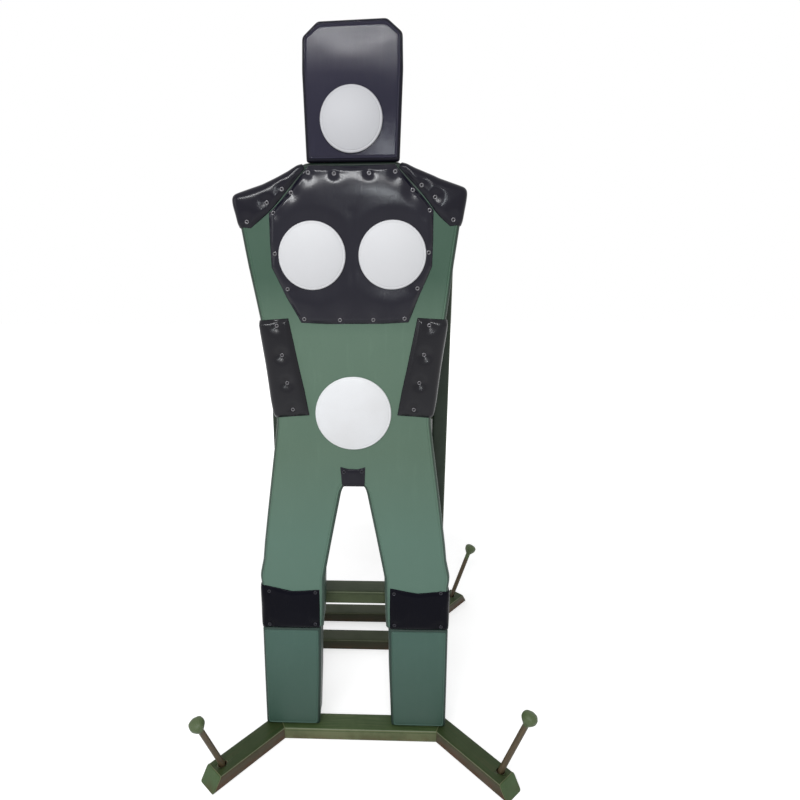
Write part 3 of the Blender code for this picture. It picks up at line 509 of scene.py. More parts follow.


# The posts' darker paint is painted shade; the crossbars' lighter side colour is painted light on their fronts.
post_paint = olive_paint("post_paint", (0.019, 0.029, 0.013), (0.017, 0.027, 0.018), 0.4, 0.3)
bar_paint = olive_paint("bar_paint", (0.021, 0.032, 0.012), (0.058, 0.076, 0.034), 0.4, 0.3)
for hand, side in HANDS:
    post = (side * POST_X, POST_Y, 0)
    steel("post_tube_" + hand, tube(*square_cut(post, 2, TUBE[1] + GAP, POST_TOP)), post_paint, "post_" + hand)
    steel("post_cap_plate_" + hand, plate(*square_cut(post, 2, POST_TOP + GAP, POST_TOP + GAP + TUBE_WALL)),
          post_paint, "post_cap_" + hand, 25)
    top, foot = brace_ends(side)
    block = tube(top[0], foot[0] - top[0], (1, 0, 0), top, foot, size=BRACE_SIZE, wall=0.002, corner=0.004)
    steel("brace_tube_" + hand, block, post_paint, "brace_" + hand)
for place, height in BAR_HEIGHTS.items():
    steel(place + "_crossbar_tube", tube(*square_cut((0, POST_Y, height), 0, -POST_INNER, POST_INNER)), bar_paint,
          place + "_crossbar")

# Welds.  A rippled bead runs round each joint of the stand where a welder can
# reach it: the mitres, rails, posts, crossbars, braces, caps and end plates,
# painted over with the rest.
BEAD_STEP = 0.0011
BEAD_TAPER = 0.003
RIPPLE_PITCH = 0.0034


def run_of(line):
    """How far along a line each of its vertices is."""
    return np.concatenate(([0], np.cumsum(np.linalg.norm(np.diff(line, axis=0), axis=1))))


def resample(line, measure, share):
    """Points of a line at shares of the length of a measuring line with the same vertices."""
    run = run_of(measure)
    return np.stack([np.interp(share * run[-1], run, line[:, axis]) for axis in range(line.shape[1])], 1)


def weld(centre, along, up, plane, radius, size=TUBE, corner=0.005, reach=None):
    """A round bar along a joint's outline in a plane, its radius rippling as |sin| along the way.

    Reach is an axis and a least value on it, past which there is no room for the bead.
    """
    line = meet_plane(rounded_rectangle(size, corner, 5, 6)[0], *squared(centre, along, up), plane)
    closed = reach is None
    if closed:
        line = np.vstack((line, line[:1]))
    else:
        kept = line[:, reach[0]] > reach[1]
        first = int(np.flatnonzero(kept & ~np.roll(kept, 1))[0])
        line = np.roll(line, -first, axis=0)[np.roll(kept, -first)]
    length = run_of(line)[-1]
    share = np.linspace(0, 1, int(length / BEAD_STEP), endpoint=not closed)
    path, at, normal = resample(line, line, share), share * length, unit(plane[1])
    ahead = (np.roll(path, -1, axis=0) - np.roll(path, 1, axis=0)) if closed else np.gradient(path, axis=0)
    thick = radius * (0.86 + 0.26 * np.abs(np.sin(at * math.pi / RIPPLE_PITCH)) + 0.10 * np.sin(at * 91))
    if not closed:
        thick = thick * np.sqrt(np.clip(np.minimum(at, length - at) / BEAD_TAPER, 0, 1))
    angle = np.arange(8)[:, None] * math.pi / 4
    points = path[:, None] + thick[:, None, None] * (
        np.cos(angle) * unit(np.cross(ahead, normal))[:, None] + np.sin(angle) * normal)
    return points, closed, True, laid(points, 0, at[:, None], 0.35)


GROUND = (2, 0.004)
base_welds, post_welds = [], []
for place in SPIKE_HOLES:
    row, hand, side, mitre, direction = foot_of(place)
    for plane, radius in ((mitre_plane(side, mitre, direction, 0), 0.0013),
                          (foot_end(row, mitre, direction, -TUBE_WALL - GAP / 2), 0.0009)):
        base_welds.append(weld(mitre, direction, (0, 0, 1), plane, radius, reach=GROUND))
for hand, side in HANDS:
    for centre, axis, at in (((side * RAIL_X, 0, TUBE[1] / 2), 1, rail_ends[0]),
                             ((side * RAIL_X, 0, TUBE[1] / 2), 1, rail_ends[1]),
                             ((0, MIDDLE_BAR_Y, TUBE[1] / 2), 0, side * rail_inner)):
        base_welds.append(weld(*square_cut(centre, axis, at), 0.0019, reach=GROUND))
    for at, radius in ((TUBE[1] + GAP, 0.0019), (POST_TOP + GAP / 2, 0.0011)):
        post_welds.append(weld(*square_cut((side * POST_X, POST_Y, 0), 2, at), radius,
                               reach=(1, POST_FRONT_Y + 0.003)))
    for height in BAR_HEIGHTS.values():
        post_welds.append(weld(*square_cut((0, POST_Y, height), 0, side * POST_INNER), 0.0019,
                               reach=(1, POST_FRONT_Y + 0.004)))
    top, foot = brace_ends(side)
    for plane in (top, foot):
        post_welds.append(weld(top[0], foot[0] - top[0], (1, 0, 0), plane, 0.0017, BRACE_SIZE, 0.004))
make_piece("base_welds", base_welds, base_paint, sharp=60)
make_piece("post_welds", post_welds, post_paint, sharp=60)

# Board.  One sheet of 18 mm birch plywood sawn to the whole figure, head and
# both legs, a little in from the pads; it leans with them as the thing was made,
# its plies show at the sawn edge and its grain runs up the figure.
BODY_X = -0.013
FRONT_Y = -0.0155
NECK_LINE = 1.4862
KNEE_LINE = 0.3483
BOARD_DEPTHS = (0.0520, 0.0523, 0.0697, 0.0700)
HEAD_RIGHT = [(0.0695, 1.75), (0.101, 1.7235), (0.103, 1.66), (0.0985, 1.4865)]
BODY_RIGHT = [(0.0985, 1.4859), (0.104, 1.4829), (0.132, 1.467), (0.186, 1.444), (0.2475, 1.424),
              (0.2465, 1.408), (0.242, 1.385), (0.2375, 1.355), (0.2315, 1.31), (0.2205, 1.23),
              (0.21, 1.155), (0.2042, 1.105), (0.1985, 1.055), (0.1895, 0.97), (0.183, 0.9262),
              (0.183, 0.911), (0.1915, 0.848), (0.2005, 0.785), (0.2155, 0.68), (0.2275, 0.593),
              (0.2325, 0.548), (0.2415, 0.508), (0.2425, 0.496), (0.24, 0.474), (0.24, 0.412),
              (0.2415, 0.36), (0.2415, KNEE_LINE), (0.082, KNEE_LINE), (0.079, 0.41), (0.078, 0.45),
              (0.077, 0.495), (0.0545, 0.615), (0.031, 0.735), (0.0245, 0.75)]
SHIN_RIGHT = [(0.089, 0.3477), (0.2435, 0.3477), (0.2455, 0.19), (0.247, 0.0373), (0.0985, 0.0373), (0.092, 0.19)]


def both_sides(right, first=0):
    """A closed clockwise outline from its right half read downwards, begun first vertices down the left."""
    right = np.array(right)
    return np.roll(np.vstack((right, right[::-1] * (-1, 1))), first + 1, axis=0)


def mitre_steps(points):
    """For each vertex of a clockwise outline, the outward step that moves both its edges out by one."""
    before, after = points - np.roll(points, 1, axis=0), np.roll(points, -1, axis=0) - points
    normals = [np.stack((-run[:, 1], run[:, 0]), 1) / np.hypot(*run.T)[:, None] for run in (before, after)]
    total = normals[0] + normals[1]
    return total / np.maximum(0.35, 0.5 * (total ** 2).sum(axis=1))[:, None]


def softened(line, rounds, closed=True):
    """A line averaged with its neighbours some rounds long; an open one keeps its ends."""
    for _ in range(rounds):
        mean = 0.5 * line + 0.25 * (np.roll(line, 1, axis=0) + np.roll(line, -1, axis=0))
        line = mean if closed else np.concatenate((line[:1], mean[1:-1], line[-1:]))
    return line


def pad_ring(outline, sides, inset, soften=2):
    """The outline moved in by inset, divided side by side into equal steps and rounded at its corners."""
    moved = outline - mitre_steps(outline) * inset
    moved, outer = (np.vstack((line, line[:1])) for line in (moved, outline))
    return softened(np.vstack([resample(moved[first:last + 1], outer[first:last + 1], np.arange(count) / count)
                               for first, last, count in sides]), soften)


def smooth(value):
    """3v^2 - 2v^3 between 0 and 1, held at both ends."""
    value = np.clip(value, 0, 1)
    return value * value * (3 - 2 * value)


def stood(plan, depth):
    """A plan of x and z stood up at a depth behind the pads' front plane."""
    return np.stack((plan[..., 0] + BODY_X, FRONT_Y + np.broadcast_to(depth, plan.shape[:-1]), plan[..., 1]), -1)


def settled(points):
    """The figure as hand-made: shoulders pulled to its left in the picture, their corners and the head tipped.

    x moves by a table of height, weighted from 0 at 130 mm out to 1 at 240 mm; z tips with x.
    """
    x, z = points[..., 0] - BODY_X, points[..., 2]
    head = z > NECK_LINE
    lean = smooth((np.abs(x) - 0.13) / 0.11) * np.interp(
        z, (1.155, 1.21, 1.275, 1.353, 1.42), (0, -0.0019, -0.0045, -0.0054, -0.0068))
    tip = 0.0040 * np.sign(x) * smooth((np.abs(x) - 0.095) / 0.10) * smooth((z - 1.37) / 0.045)
    moved = points.copy()
    moved[..., 0] += np.where(head, 0.003, lean)
    moved[..., 2] += np.where(head, 0.024 * x * smooth((z - 1.62) / 0.12), tip)
    return moved


look = Finish("birch_plywood", specular_ior_level=0.3)
plies = look.work_out("PINGPONG", look.axes["Y"], 0.0013)
grain = look.noise(look.place, 1.0, 5, 0.62, stretch=(120, 40, 7))
rings = look.noise(look.place, 1.0, 2, 0.5, stretch=(22, 8, 2.2))
colour = look.blend(look.spread(grain, 0.3, 0.7), (0.50, 0.36, 0.21), (0.36, 0.235, 0.125))
colour = look.blend(look.spread(rings, 0.35, 0.7, 0, 0.55), colour, (0.30, 0.18, 0.09))
colour = look.blend(look.spread(plies, 0.0004, 0.0009, 0, 0.35), colour, (0.20, 0.115, 0.055))
plywood = look.finish(colour, look.spread(grain, 0.3, 0.7, 0.62, 0.78), (grain, 0.35, 0.0004), (plies, 0.2, 0.3))
board_line = both_sides(HEAD_RIGHT[:-1] + [(0.096, 1.485)] + BODY_RIGHT[1:26] + [(0.2405, 0.348)] + SHIN_RIGHT[2:]
                        + [(0.09, 0.348)] + BODY_RIGHT[-6:])
spans = np.linalg.norm(np.roll(board_line, -1, axis=0) - board_line, axis=1)
ring = pad_ring(board_line, [(k, k + 1, max(1, int(span / 0.012))) for k, span in enumerate(spans)], 0.0016, 0)
board = settled(np.array([stood(ring, depth) for depth in BOARD_DEPTHS]))
board[[0, 3], :, 0] -= 0.0003 * np.sign(board[[0, 3], :, 0] - BODY_X)
make_piece("plywood_board", [(board, False, True, None)], plywood, replaces=["backing_board"],
           sharp=30, caps=[range(len(ring)), range(3 * len(ring), 4 * len(ring))])

# Nuts and bolts.  Six flanged hexagon bolts pass through the crossbars into
# flanged nuts sunk in the board's front; both are bright zinc-plated steel.
BOLT_X = {"knee": (-0.163, 0.137), "waist": (-0.113, 0.087), "chest": (-0.143, 0.117)}
BOLT_PROFILE = [(0.0, -0.055), (0.004, -0.055), (0.005, -0.054), (0.005, 0.0), (0.0121, 0.0), (0.0125, 0.0006),
                (0.0123, 0.0015), (0.0106, 0.0024), (0.0098, 0.0026), (0.0098, 0.006), (0.0088, 0.007),
                (0.007, 0.007), (0.0, 0.0066)]
BOLT_SEGMENTS = 48

look = Finish("zinc_plate", metallic=1.0)
clouds = look.noise(look.place, 160, 4, 0.6)
zinc = look.finish(look.blend(clouds, (0.52, 0.52, 0.50), (0.34, 0.35, 0.36)),
                   look.spread(clouds, 0.3, 0.7, 0.28, 0.48), (look.noise(look.place, 900, 2), 0.2, 0.0002))
angle = np.arange(BOLT_SEGMENTS) * 2 * math.pi / BOLT_SEGMENTS
hexagon = math.cos(math.pi / 6) / np.cos((angle % (math.pi / 3)) - math.pi / 6)
for row, both_x in BOLT_X.items():
    for (hand, side), x in zip(HANDS, both_x):
        place = row + "_" + hand
        seat = (x, POST_FRONT_Y + TUBE[0] + GAP, BAR_HEIGHTS[row])
        points, *rest = turned(BOLT_PROFILE, seat, (0, 1, 0), BOLT_SEGMENTS)
        centre = points.mean(axis=1, keepdims=True)
        points[8:11] = centre[8:11] + (points[8:11] - centre[8:11]) * hexagon[None, :, None]
        make_piece("bolt_" + place, [(points, *rest)], zinc,
                   replaces=["board_bolt_" + place], sharp=30)
        nut = frame["nodes"]["board_nut_" + place]
        nut.data.materials.clear()
        nut.data.materials.append(zinc)

# Pads.  Head, body and shins are foam slabs on the board under leatherette:
# a front cloth and a side band sewn together with a welt at the corner, and
# drawn over the board's back, where the hem is stapled down.
PAD_DEPTH = 0.0715
EDGE_ROUND = 0.010
WELT_TURN = 0.24
HEAD_CROWN = 0.0006
BODY_CROWN = 0.0022
SHIN_CROWN = 0.0018
HEAD_HEM = [(0.056, 1.722), (0.075, 1.704), (0.075, 1.66), (0.0705, 1.5145)]
BODY_HEM = [(0.083, 1.4575), (0.2, 1.408), (0.214, 1.398), (0.211, 1.356), (0.193, 1.23), (0.1695, 1.055),
            (0.154, 0.94), (0.1545, 0.91), (0.1715, 0.785), (0.199, 0.593), (0.2105, 0.5), (0.2105, 0.3763),
            (0.11, 0.3763), (0.106, 0.41), (0.105, 0.5), (0.0835, 0.62), (0.059, 0.74), (0.04, 0.78)]
SHIN_HEM = [(0.2125, 0.3197), (0.2145, 0.19), (0.2155, 0.0653), (0.1295, 0.0653), (0.123, 0.19), (0.1205, 0.3197)]


def pebbled(look, scale, width):
    """Grain: nought on the lines between cells, one from a share of a cell inwards."""
    cells = look.add("TexVoronoi", {"Vector": look.place, "Scale": scale}, feature="DISTANCE_TO_EDGE")
    return look.spread(cells.outputs["Distance"], 0.0, width)


def leatherette(name, colour, shade, gloss, specular, grain_depth=0.00018, slack_depth=0.003, painted_light_and_shade_by_height=()):
    """Coated cloth: pebbled grain, broad slack, rub marks, a side band darkened as painted shade, a painted
    highlight on the welt, and painted light and shade with height.
    """
    look = Finish(name, specular_ior_level=specular)
    pebble = pebbled(look, 620.0, 0.22)
    rub = look.noise(look.place, 1.0, 3, 0.6, stretch=(55, 55, 9))
    tint = look.blend(look.spread(look.noise(look.place, 4.5, 3, 0.55), 0.3, 0.7), colour, shade)
    tint = look.blend(look.spread(rub, 0.55, 0.8, 0, 0.22), tint, toned(colour, 1.5, 0.01))
    tint = look.blend(look.spread(pebble, 0.0, 0.6, 0.22, 0), tint, toned(colour, 0.5))
    # Bands by height that lighten or darken the cloth: painted light and painted shade.
    for start, end, *least in painted_light_and_shade_by_height:
        tint = look.blend(look.times(look.spread(look.axes["Z"], start, end), 0.8), tint, toned(colour, least))
    # The side band darkened: painted shade on the sides turned from the lamps.
    tint = look.blend(look.lay_axes["X"], tint, (0.42, 0.42, 0.42), "MULTIPLY")
    # The welt lightened: a painted highlight along the sewn corner.
    tint = look.blend(look.times(look.lay_axes["Y"], 0.5), tint, toned(colour, 2.2, 0.02))
    return look.finish(tint, look.spread(rub, 0.3, 0.75, gloss + 0.02, gloss - 0.02),
                       (look.noise(look.place, 16, 2, 0.5), 0.10, slack_depth), (pebble, 0.5, grain_depth))


def nearest_on(points, outline):
    """Each point's nearest place on a closed outline, and how far it is."""
    best, found = np.full(len(points), np.inf), np.array(points)
    for start, end in zip(outline, np.roll(outline, -1, axis=0)):
        run = end - start
        foot = start + np.clip(((points - start) @ run) / (run @ run), 0, 1)[:, None] * run
        far = np.hypot(*(points - foot).T)
        found[far < best] = foot[far < best]
        best = np.minimum(best, far)
    return found, best


def coons(bottom, top, left, right, across=None, upward=None):
    """The surface spanned by four edge lines: both rulings added, less the plane through the corners."""
    u = (np.linspace(0, 1, len(bottom)) if across is None else across)[None, :, None]
    v = (np.linspace(0, 1, len(left)) if upward is None else upward)[:, None, None]
    return ((1 - v) * bottom[None] + v * top[None] + (1 - u) * left[:, None] + u * right[:, None]
            - (1 - u) * (1 - v) * bottom[0] - u * (1 - v) * bottom[-1] - (1 - u) * v * top[0] - u * v * top[-1])


def front_point(plan, outline, crown):
    """The plan's x and z on the pad's front: crowned, full 60 mm in, and a quarter round in its last 10 mm."""
    flat = plan.reshape(-1, 2)
    inward = nearest_on(flat, outline)[1] - EDGE_ROUND
    swell = crown * smooth(inward / 0.06)
    swell += 0.2 * crown * smooth(inward / 0.03) * (np.sin(flat[:, 1] * 31 + 3 * flat[:, 0])
                                               * np.sin(flat[:, 0] * 43 + 1.3))
    swell -= EDGE_ROUND - np.sqrt(EDGE_ROUND ** 2 - np.clip(-inward, 0, EDGE_ROUND) ** 2)
    return stood(flat, -swell).reshape(*plan.shape[:-1], 3)


def side_path():
    """Inset and depth round the sewn corner, with its welt, and back along the side."""
    arc = np.concatenate((np.linspace(0, 0.55, 15), np.linspace(0.55, math.pi / 2, 10)[1:]))
    run = (arc - WELT_TURN) * EDGE_ROUND
    welt = 0.0011 * np.exp(-(run / 0.0009) ** 2) - 0.0006 * np.exp(-((np.abs(run) - 0.0022) / 0.0008) ** 2)
    corner = np.stack((EDGE_ROUND * (1 - np.sin(arc)) - welt * np.sin(arc),
                       EDGE_ROUND * (1 - np.cos(arc)) - welt * np.cos(arc)), 1)
    corner[0] = (EDGE_ROUND, 0)
    share = np.linspace(0, 1, 11)[1:]
    side = np.stack((0.0009 * np.sin(math.pi * share), EDGE_ROUND + share * 0.0593), 1)
    return np.vstack((corner, side, [(0.0002, 0.0703), (0.0008, 0.0711), (0.0020, 0.0714)]))


def make_pad(name, outline, sides, hem, blocks, crown, material, nodes):
    """A whole pad: front blocks, corner and side rings, the hem, and the pocket that holds the board."""
    ring = pad_ring(outline, sides, EDGE_ROUND)
    path = side_path()
    rings = [front_point(ring, outline, crown)]
    rings += [stood(pad_ring(outline, sides, inset), depth) for inset, depth in path[1:]]
    hem_plan = softened(nearest_on(rings[-1][:, (0, 2)] - (BODY_X, 0), np.array(hem))[0], 3)
    along = np.arange(len(hem_plan))
    for share in np.linspace(0, 1, 6)[1:]:
        row = rings[len(path) - 1] * (1 - share) + stood(hem_plan, 0.0714) * share
        row[:, 1] -= 0.0003 * share * (1 + np.sin(along * 0.9) * np.sin(along * 0.31))
        rings.append(row)
    rings.append(stood(hem_plan, 0.0702))
    rings += [stood(pad_ring(outline, sides, 0.0014), depth) for depth in (0.0702, 0.0516)]
    rings = settled(np.array(rings))
    past = (np.arccos(np.clip(1 - (path[:, 1] + 1e-9) / EDGE_ROUND, -1, 1)) - WELT_TURN) * EDGE_ROUND
    past = np.append(past, np.ones(len(rings) - len(path)))[:, None]
    # The lay marks the side band, darkened as painted shade, and the welt, lightened as a painted highlight.
    lay = laid(rings, smooth((past - 0.0008) / 0.002), np.exp(-(past / 0.0009) ** 2), 0)
    fronts = [(settled(front_point(block, outline, crown)), False, False, None) for block in blocks(ring, sides)]
    count = len(rings) * len(ring)
    make_piece(name, [(rings, False, True, lay)] + fronts, material, replaces=nodes,
                         sharp=70, caps=[range(count - len(ring), count)])


def side_of(ring, sides, number):
    """One side's points in a ring, both ends included."""
    starts = np.concatenate(([0], np.cumsum([side[2] for side in sides])))
    return np.take(ring, range(starts[number], starts[number + 1] + 1), axis=0, mode="wrap")


def four_sided(ring, sides):
    """One block between a ring's top, right, bottom and left sides."""
    top, right, bottom, left = (side_of(ring, sides, number) for number in range(4))
    return [coons(bottom[::-1], top, left, right[::-1])]


def body_blocks(ring, sides):
    """Three blocks: the torso down to the hips, and each thigh down to the knee."""
    top, right, right_leg, right_knee, right_inner, crotch, left_inner, left_knee, left_leg, left = (
        side_of(ring, sides, number) for number in range(10))
    right_hip, left_hip = (np.linspace(start, end, len(right_knee)) for start, end in
                           ((crotch[0], right[-1]), (left[0], crotch[-1])))
    waist = np.vstack((left_hip, crotch[::-1][1:], right_hip[1:]))
    return [coons(waist, top, left, right[::-1]),
            coons(right_knee[::-1], right_hip, right_inner, right_leg[::-1]),
            coons(left_knee[::-1], left_hip, left_leg, left_inner[::-1])]


# The green is lighter over the thighs as a painted reflection of the floor, darker over the upper chest and
# shoulders and nearly black at the neck as painted shade; the shins' green is a darker copy of it, painted shade,
# and darker still towards the feet.
green = leatherette("green_leatherette", (0.096, 0.160, 0.114), (0.106, 0.172, 0.124), 0.44, 0.28, painted_light_and_shade_by_height=[
    (0.84, 0.60, 1.10, 1.20, 1.32), (1.12, 1.25, 0.27, 0.42, 0.37), (1.40, 1.45, 0.04, 0.06, 0.05)])
shaded_shin_green = leatherette("shin_leatherette", (0.060, 0.124, 0.098), (0.066, 0.132, 0.106), 0.44, 0.26,
                         painted_light_and_shade_by_height=[(0.30, 0.06, 0.70, 0.70, 0.66)])
head_black = leatherette("head_leatherette", (0.024, 0.023, 0.038), (0.028, 0.026, 0.043), 0.092, 0.080,
                         grain_depth=0.00003, slack_depth=0.0006)
head_line, body_line = both_sides(HEAD_RIGHT, 1), both_sides(BODY_RIGHT, 4)
make_pad("head_pad", head_line, [(0, 3, 60), (3, 5, 56), (5, 6, 60), (6, 8, 56)], both_sides(HEAD_HEM), four_sided,
         HEAD_CROWN, head_black, ["head_cover", "head_foam"])
body_sides = [(0, 9, 90), (9, 22, 124), (22, 31, 88), (31, 32, 40), (32, 38, 88), (38, 39, 10),
              (39, 45, 88), (45, 46, 40), (46, 55, 88), (55, 68, 124)]
make_pad("body_pad", body_line, body_sides, both_sides(BODY_HEM), body_blocks, BODY_CROWN, green,
         ["body_cover", "body_foam"])
for hand, side in HANDS:
    line, hem = np.array(SHIN_RIGHT), np.array(SHIN_HEM)
    if side < 0:
        line, hem = np.roll(line[::-1] * (-1, 1), -4, axis=0), hem[::-1] * (-1, 1)
    make_pad("shin_pad_" + hand, line, [(0, 1, 36), (1, 3, 68), (3, 4, 36), (4, 6, 68)], hem, four_sided, SHIN_CROWN,
             shaded_shin_green, ["shin_%s_cover" % hand, "shin_%s_foam" % hand])

# Leathers.  A chest panel, shoulder caps, flank panels, knee bands and a
# crotch patch of soft black leather over thin wadding, drawn down by rivets
# so that they dimple and pucker; all but two kinds lap round the pad's side.
CHEST_SIDE = [(0.0915, 1.48), (0.1258, 1.441), (0.153, 1.4115), (0.1762, 1.387), (0.1768, 1.325),
              (0.176, 1.272), (0.149, 1.211), (0.1205, 1.15)]
CHEST_RIVETS = [(0.0368, 1.463), (0.0915, 1.4655), (0.1285, 1.427), (0.1665, 1.3865), (0.1668, 1.301),
                (0.143, 1.225)]
CHEST_LOW_RIVETS = [(-0.108, 1.159), (-0.028, 1.1565), (0.0465, 1.1565), (0.116, 1.159)]
CAP_INNER = [(0.1288, 1.4426), (0.1548, 1.4132), (0.179, 1.3854), (0.196, 1.37), (0.215, 1.355)]
CAP_RIVETS = [(0.1475, 1.4355), (0.1785, 1.41), (0.221, 1.368)]
FLANK_INNER = [(0.145, 1.16), (0.1345, 1.105), (0.124, 1.048), (0.113, 0.993), (0.103, 0.933)]
FLANK_RIVETS = [(0.171, 1.144), (0.1615, 1.077), (0.152, 1.012), (0.141, 0.948)]
BAND_LOW = 0.3494
KNEE_INNER = [(0.0905, 0.468), (0.0905, 0.408), (0.0915, BAND_LOW)]
KNEE_RIVETS = [(0.22, 0.46), (0.101, 0.457), (0.223, 0.362), (0.103, 0.364)]
PATCH_RIVETS = [(-0.0235, 0.791), (0.0195, 0.792)]
LEATHER_THICK = 0.0020
DIMPLE_HEIGHTS = (1.05, 1.20, 1.30, 1.44, 1.46)
DIMPLE_DEPTHS = (0.0049, 0.0043, 0.0036, 0.0028, 0.0053)
DIMPLE_WIDTHS = (0.0113, 0.0125, 0.0130, 0.0130, 0.0098)
DIMPLE_REACHES = (0.022, 0.022, 0.022, 0.022, 0.008)
CHEST_TARGET_X, CHEST_TARGET_Z = 0.087, 1.296
PRESS_RADIUS = 0.070
PRESS_BLEND = 0.038
PRESS_HEIGHT = 0.0066
WRAP_DEPTH = 0.046
CLEAR = 0.0003
SLACK_ROUNDS = 6


def eased(length, pitch, low=True, high=True):
    """Shares from 0 to 1, close together at each cut edge and a pitch apart between."""
    near = np.array((0, 0.0004, 0.0010, 0.0018, 0.0029))
    start, end = (near if low else near[:1]), (near if high else near[:1])
    inner = np.linspace(start[-1], length - end[-1], max(2, int(length / pitch)))
    return np.concatenate((start[:-1], inner, length - end[:-1][::-1])) / length


def distance_to(grid, places):
    """How far each point of a grid is from the nearest of some places, worked out in slices."""
    return np.concatenate([np.linalg.norm(part[:, None] - places[None], axis=-1).min(axis=1)
                           for part in np.array_split(grid.reshape(-1, 3), 24)]).reshape(grid.shape[:2])


def swollen(grid, held, cap):
    """A sheet of points swelled from behind by a cloth simulation of 16 frames; held points stay.

    It runs on every second point.  The moves are averaged both ways in turn, spread to the
    points between, then eased to the cap by cap * tanh(far / cap).
    """
    picks = [np.unique(np.append(np.arange(0, count, 2), count - 1)) for count in grid.shape[:2]]
    coarse = grid[np.ix_(*picks)]
    rows, columns = coarse.shape[:2]
    mesh = bpy.data.meshes.new("slack_sheet")
    mesh.from_pydata(coarse.reshape(-1, 3).tolist(), [], lattice(rows, columns, False, False).tolist())
    if mesh.polygons[(rows // 3) * (columns - 1) + columns // 2].normal.y > 0:
        mesh.flip_normals()
    sheet = add_object("slack_sheet", mesh)
    sheet.vertex_groups.new(name="held").add(
        np.flatnonzero(held[np.ix_(*picks)]).tolist(), 1.0, "REPLACE")
    cloth = sheet.modifiers.new("cloth", "CLOTH")
    for setting, value in {
            "vertex_group_mass": "held", "quality": 5, "mass": 0.02, "tension_stiffness": 40,
            "compression_stiffness": 40, "shear_stiffness": 10, "bending_stiffness": 1.5, "use_pressure": True,
            "uniform_pressure_force": 40.0, "shrink_min": -0.001}.items():
        setattr(cloth.settings, setting, value)
    cloth.settings.effector_weights.gravity = 0
    cloth.collision_settings.use_collision = False
    cloth.point_cache.frame_start, cloth.point_cache.frame_end = 1, 16
    for step in range(1, 17):
        bpy.context.scene.frame_set(step)
    after = np.empty(rows * columns * 3, np.float32)
    sheet.evaluated_get(bpy.context.evaluated_depsgraph_get()).data.vertices.foreach_get("co", after)
    bpy.data.objects.remove(sheet, do_unlink=True)
    bpy.context.scene.frame_set(1)
    moved = after.reshape(coarse.shape).astype(float) - coarse
    for _ in range(2 * SLACK_ROUNDS):
        moved = softened(moved, 1, closed=False).swapaxes(0, 1)
    for axis, (count, pick) in enumerate(zip(grid.shape, picks)):
        place = np.interp(np.arange(count), pick, np.arange(len(pick)))
        low = np.minimum(place.astype(int), len(pick) - 2)
        share = (place - low).reshape(-1, 1, 1) if axis == 0 else (place - low).reshape(1, -1, 1)
        moved = np.take(moved, low, axis) * (1 - share) + np.take(moved, low + 1, axis) * share
    far = np.maximum(np.linalg.norm(moved, axis=-1, keepdims=True), 1e-9)
    return grid + moved / far * cap * np.tanh(far / cap)


def make_leather(name, base, rivets, rise, material, node, cap=0.002, crease=None, pressed=()):
    """A wadded leather: a round cut edge, a start of rise, then swelled by simulation between its rivets.

    A crease is two ends in x and z, a width and a depth, of bell section.  Pressed is a list of
    rounds in x, z and radius where something sewn on holds the leather down.  It gives the rivets' seats.
    """
    normal = unit(np.cross(np.gradient(base, axis=0), np.gradient(base, axis=1)))
    normal *= 1 if normal[normal.shape[0] // 3, normal.shape[1] // 2, 1] < 0 else -1
    inward = distance_to(base, np.vstack((base[0], base[-1], base[:, 0], base[:, -1])))
    share = np.clip(inward / LEATHER_THICK, 0, 1)
    rise = rise * (1 - 0.8 * smooth((base[..., 1] - FRONT_Y) / 0.009))
    height = CLEAR + LEATHER_THICK * np.sqrt(1 - (1 - share) ** 2) + rise * smooth(inward / 0.010)
    x, z = base[..., 0] - BODY_X, base[..., 2]
    if crease is not None:
        x0, z0, x1, z1, width, deep = crease
        run = np.array((x1 - x0, z1 - z0))
        along = np.clip(((x - x0) * run[0] + (z - z0) * run[1]) / (run @ run), 0, 1)
        away = np.hypot(x - x0 - along * run[0], z - z0 - along * run[1])
        height -= deep * np.exp(-(away / width) ** 2) * np.sin(math.pi * np.clip(along, 0.08, 0.92)) * smooth(
            inward / 0.008)
    spots = settled(np.array([(rivet_x + BODY_X, 0, rivet_z) for rivet_x, rivet_z in rivets]))[:, (0, 2)]
    held, free = inward < 0.0035, np.ones(inward.shape)
    for rivet_x, rivet_z in spots - (BODY_X, 0):
        away = np.hypot(x - rivet_x, z - rivet_z) + 9 * (base[..., 1] > 0)
        deep, wide, reach = (np.interp(rivet_z, DIMPLE_HEIGHTS, sizes)
                             for sizes in (DIMPLE_DEPTHS, DIMPLE_WIDTHS, DIMPLE_REACHES))
        height -= np.minimum(rise, deep) * np.exp(-(away / wide) ** 2)
        free = np.minimum(free, smooth((away - 0.003) / reach))
    for round_x, round_z, radius in pressed:
        away = np.hypot(x - round_x, z - round_z)
        held |= away < radius
        height -= np.maximum(height - PRESS_HEIGHT, 0) * smooth((radius + PRESS_BLEND - away) / PRESS_BLEND)
    least = np.minimum(CLEAR + LEATHER_THICK * 0.7, CLEAR + LEATHER_THICK * share)
    height = 0.5 * (height + least + np.sqrt((height - least) ** 2 + 0.0004 ** 2 * smooth(inward / 0.002)))
    outer, inner = base + normal * height[..., None], base + normal * CLEAR
    outer[[0, -1]], outer[:, [0, -1]] = inner[[0, -1]], inner[:, [0, -1]]
    outer += (swollen(outer, held, cap) - outer) * free[..., None]
    soft = smooth((inward[1:-1, 1:-1, None] - 0.003) / 0.004)
    for _ in range(5):
        mean = 0.25 * (outer[2:, 1:-1] + outer[:-2, 1:-1] + outer[1:-1, 2:] + outer[1:-1, :-2])
        outer[1:-1, 1:-1] += 0.8 * soft * (mean - outer[1:-1, 1:-1])
    make_piece(name, [(outer, False, False, None), (inner, False, False, None)], material,
               replaces=[node], sharp=75)
    flat = outer.reshape(-1, 3)
    near = [np.argmin(np.hypot(flat[:, 0] - x, flat[:, 2] - z) + 9 * (flat[:, 1] > 0)) for x, z in spots]
    return np.stack((spots[:, 0], flat[near, 1], spots[:, 1]), 1)


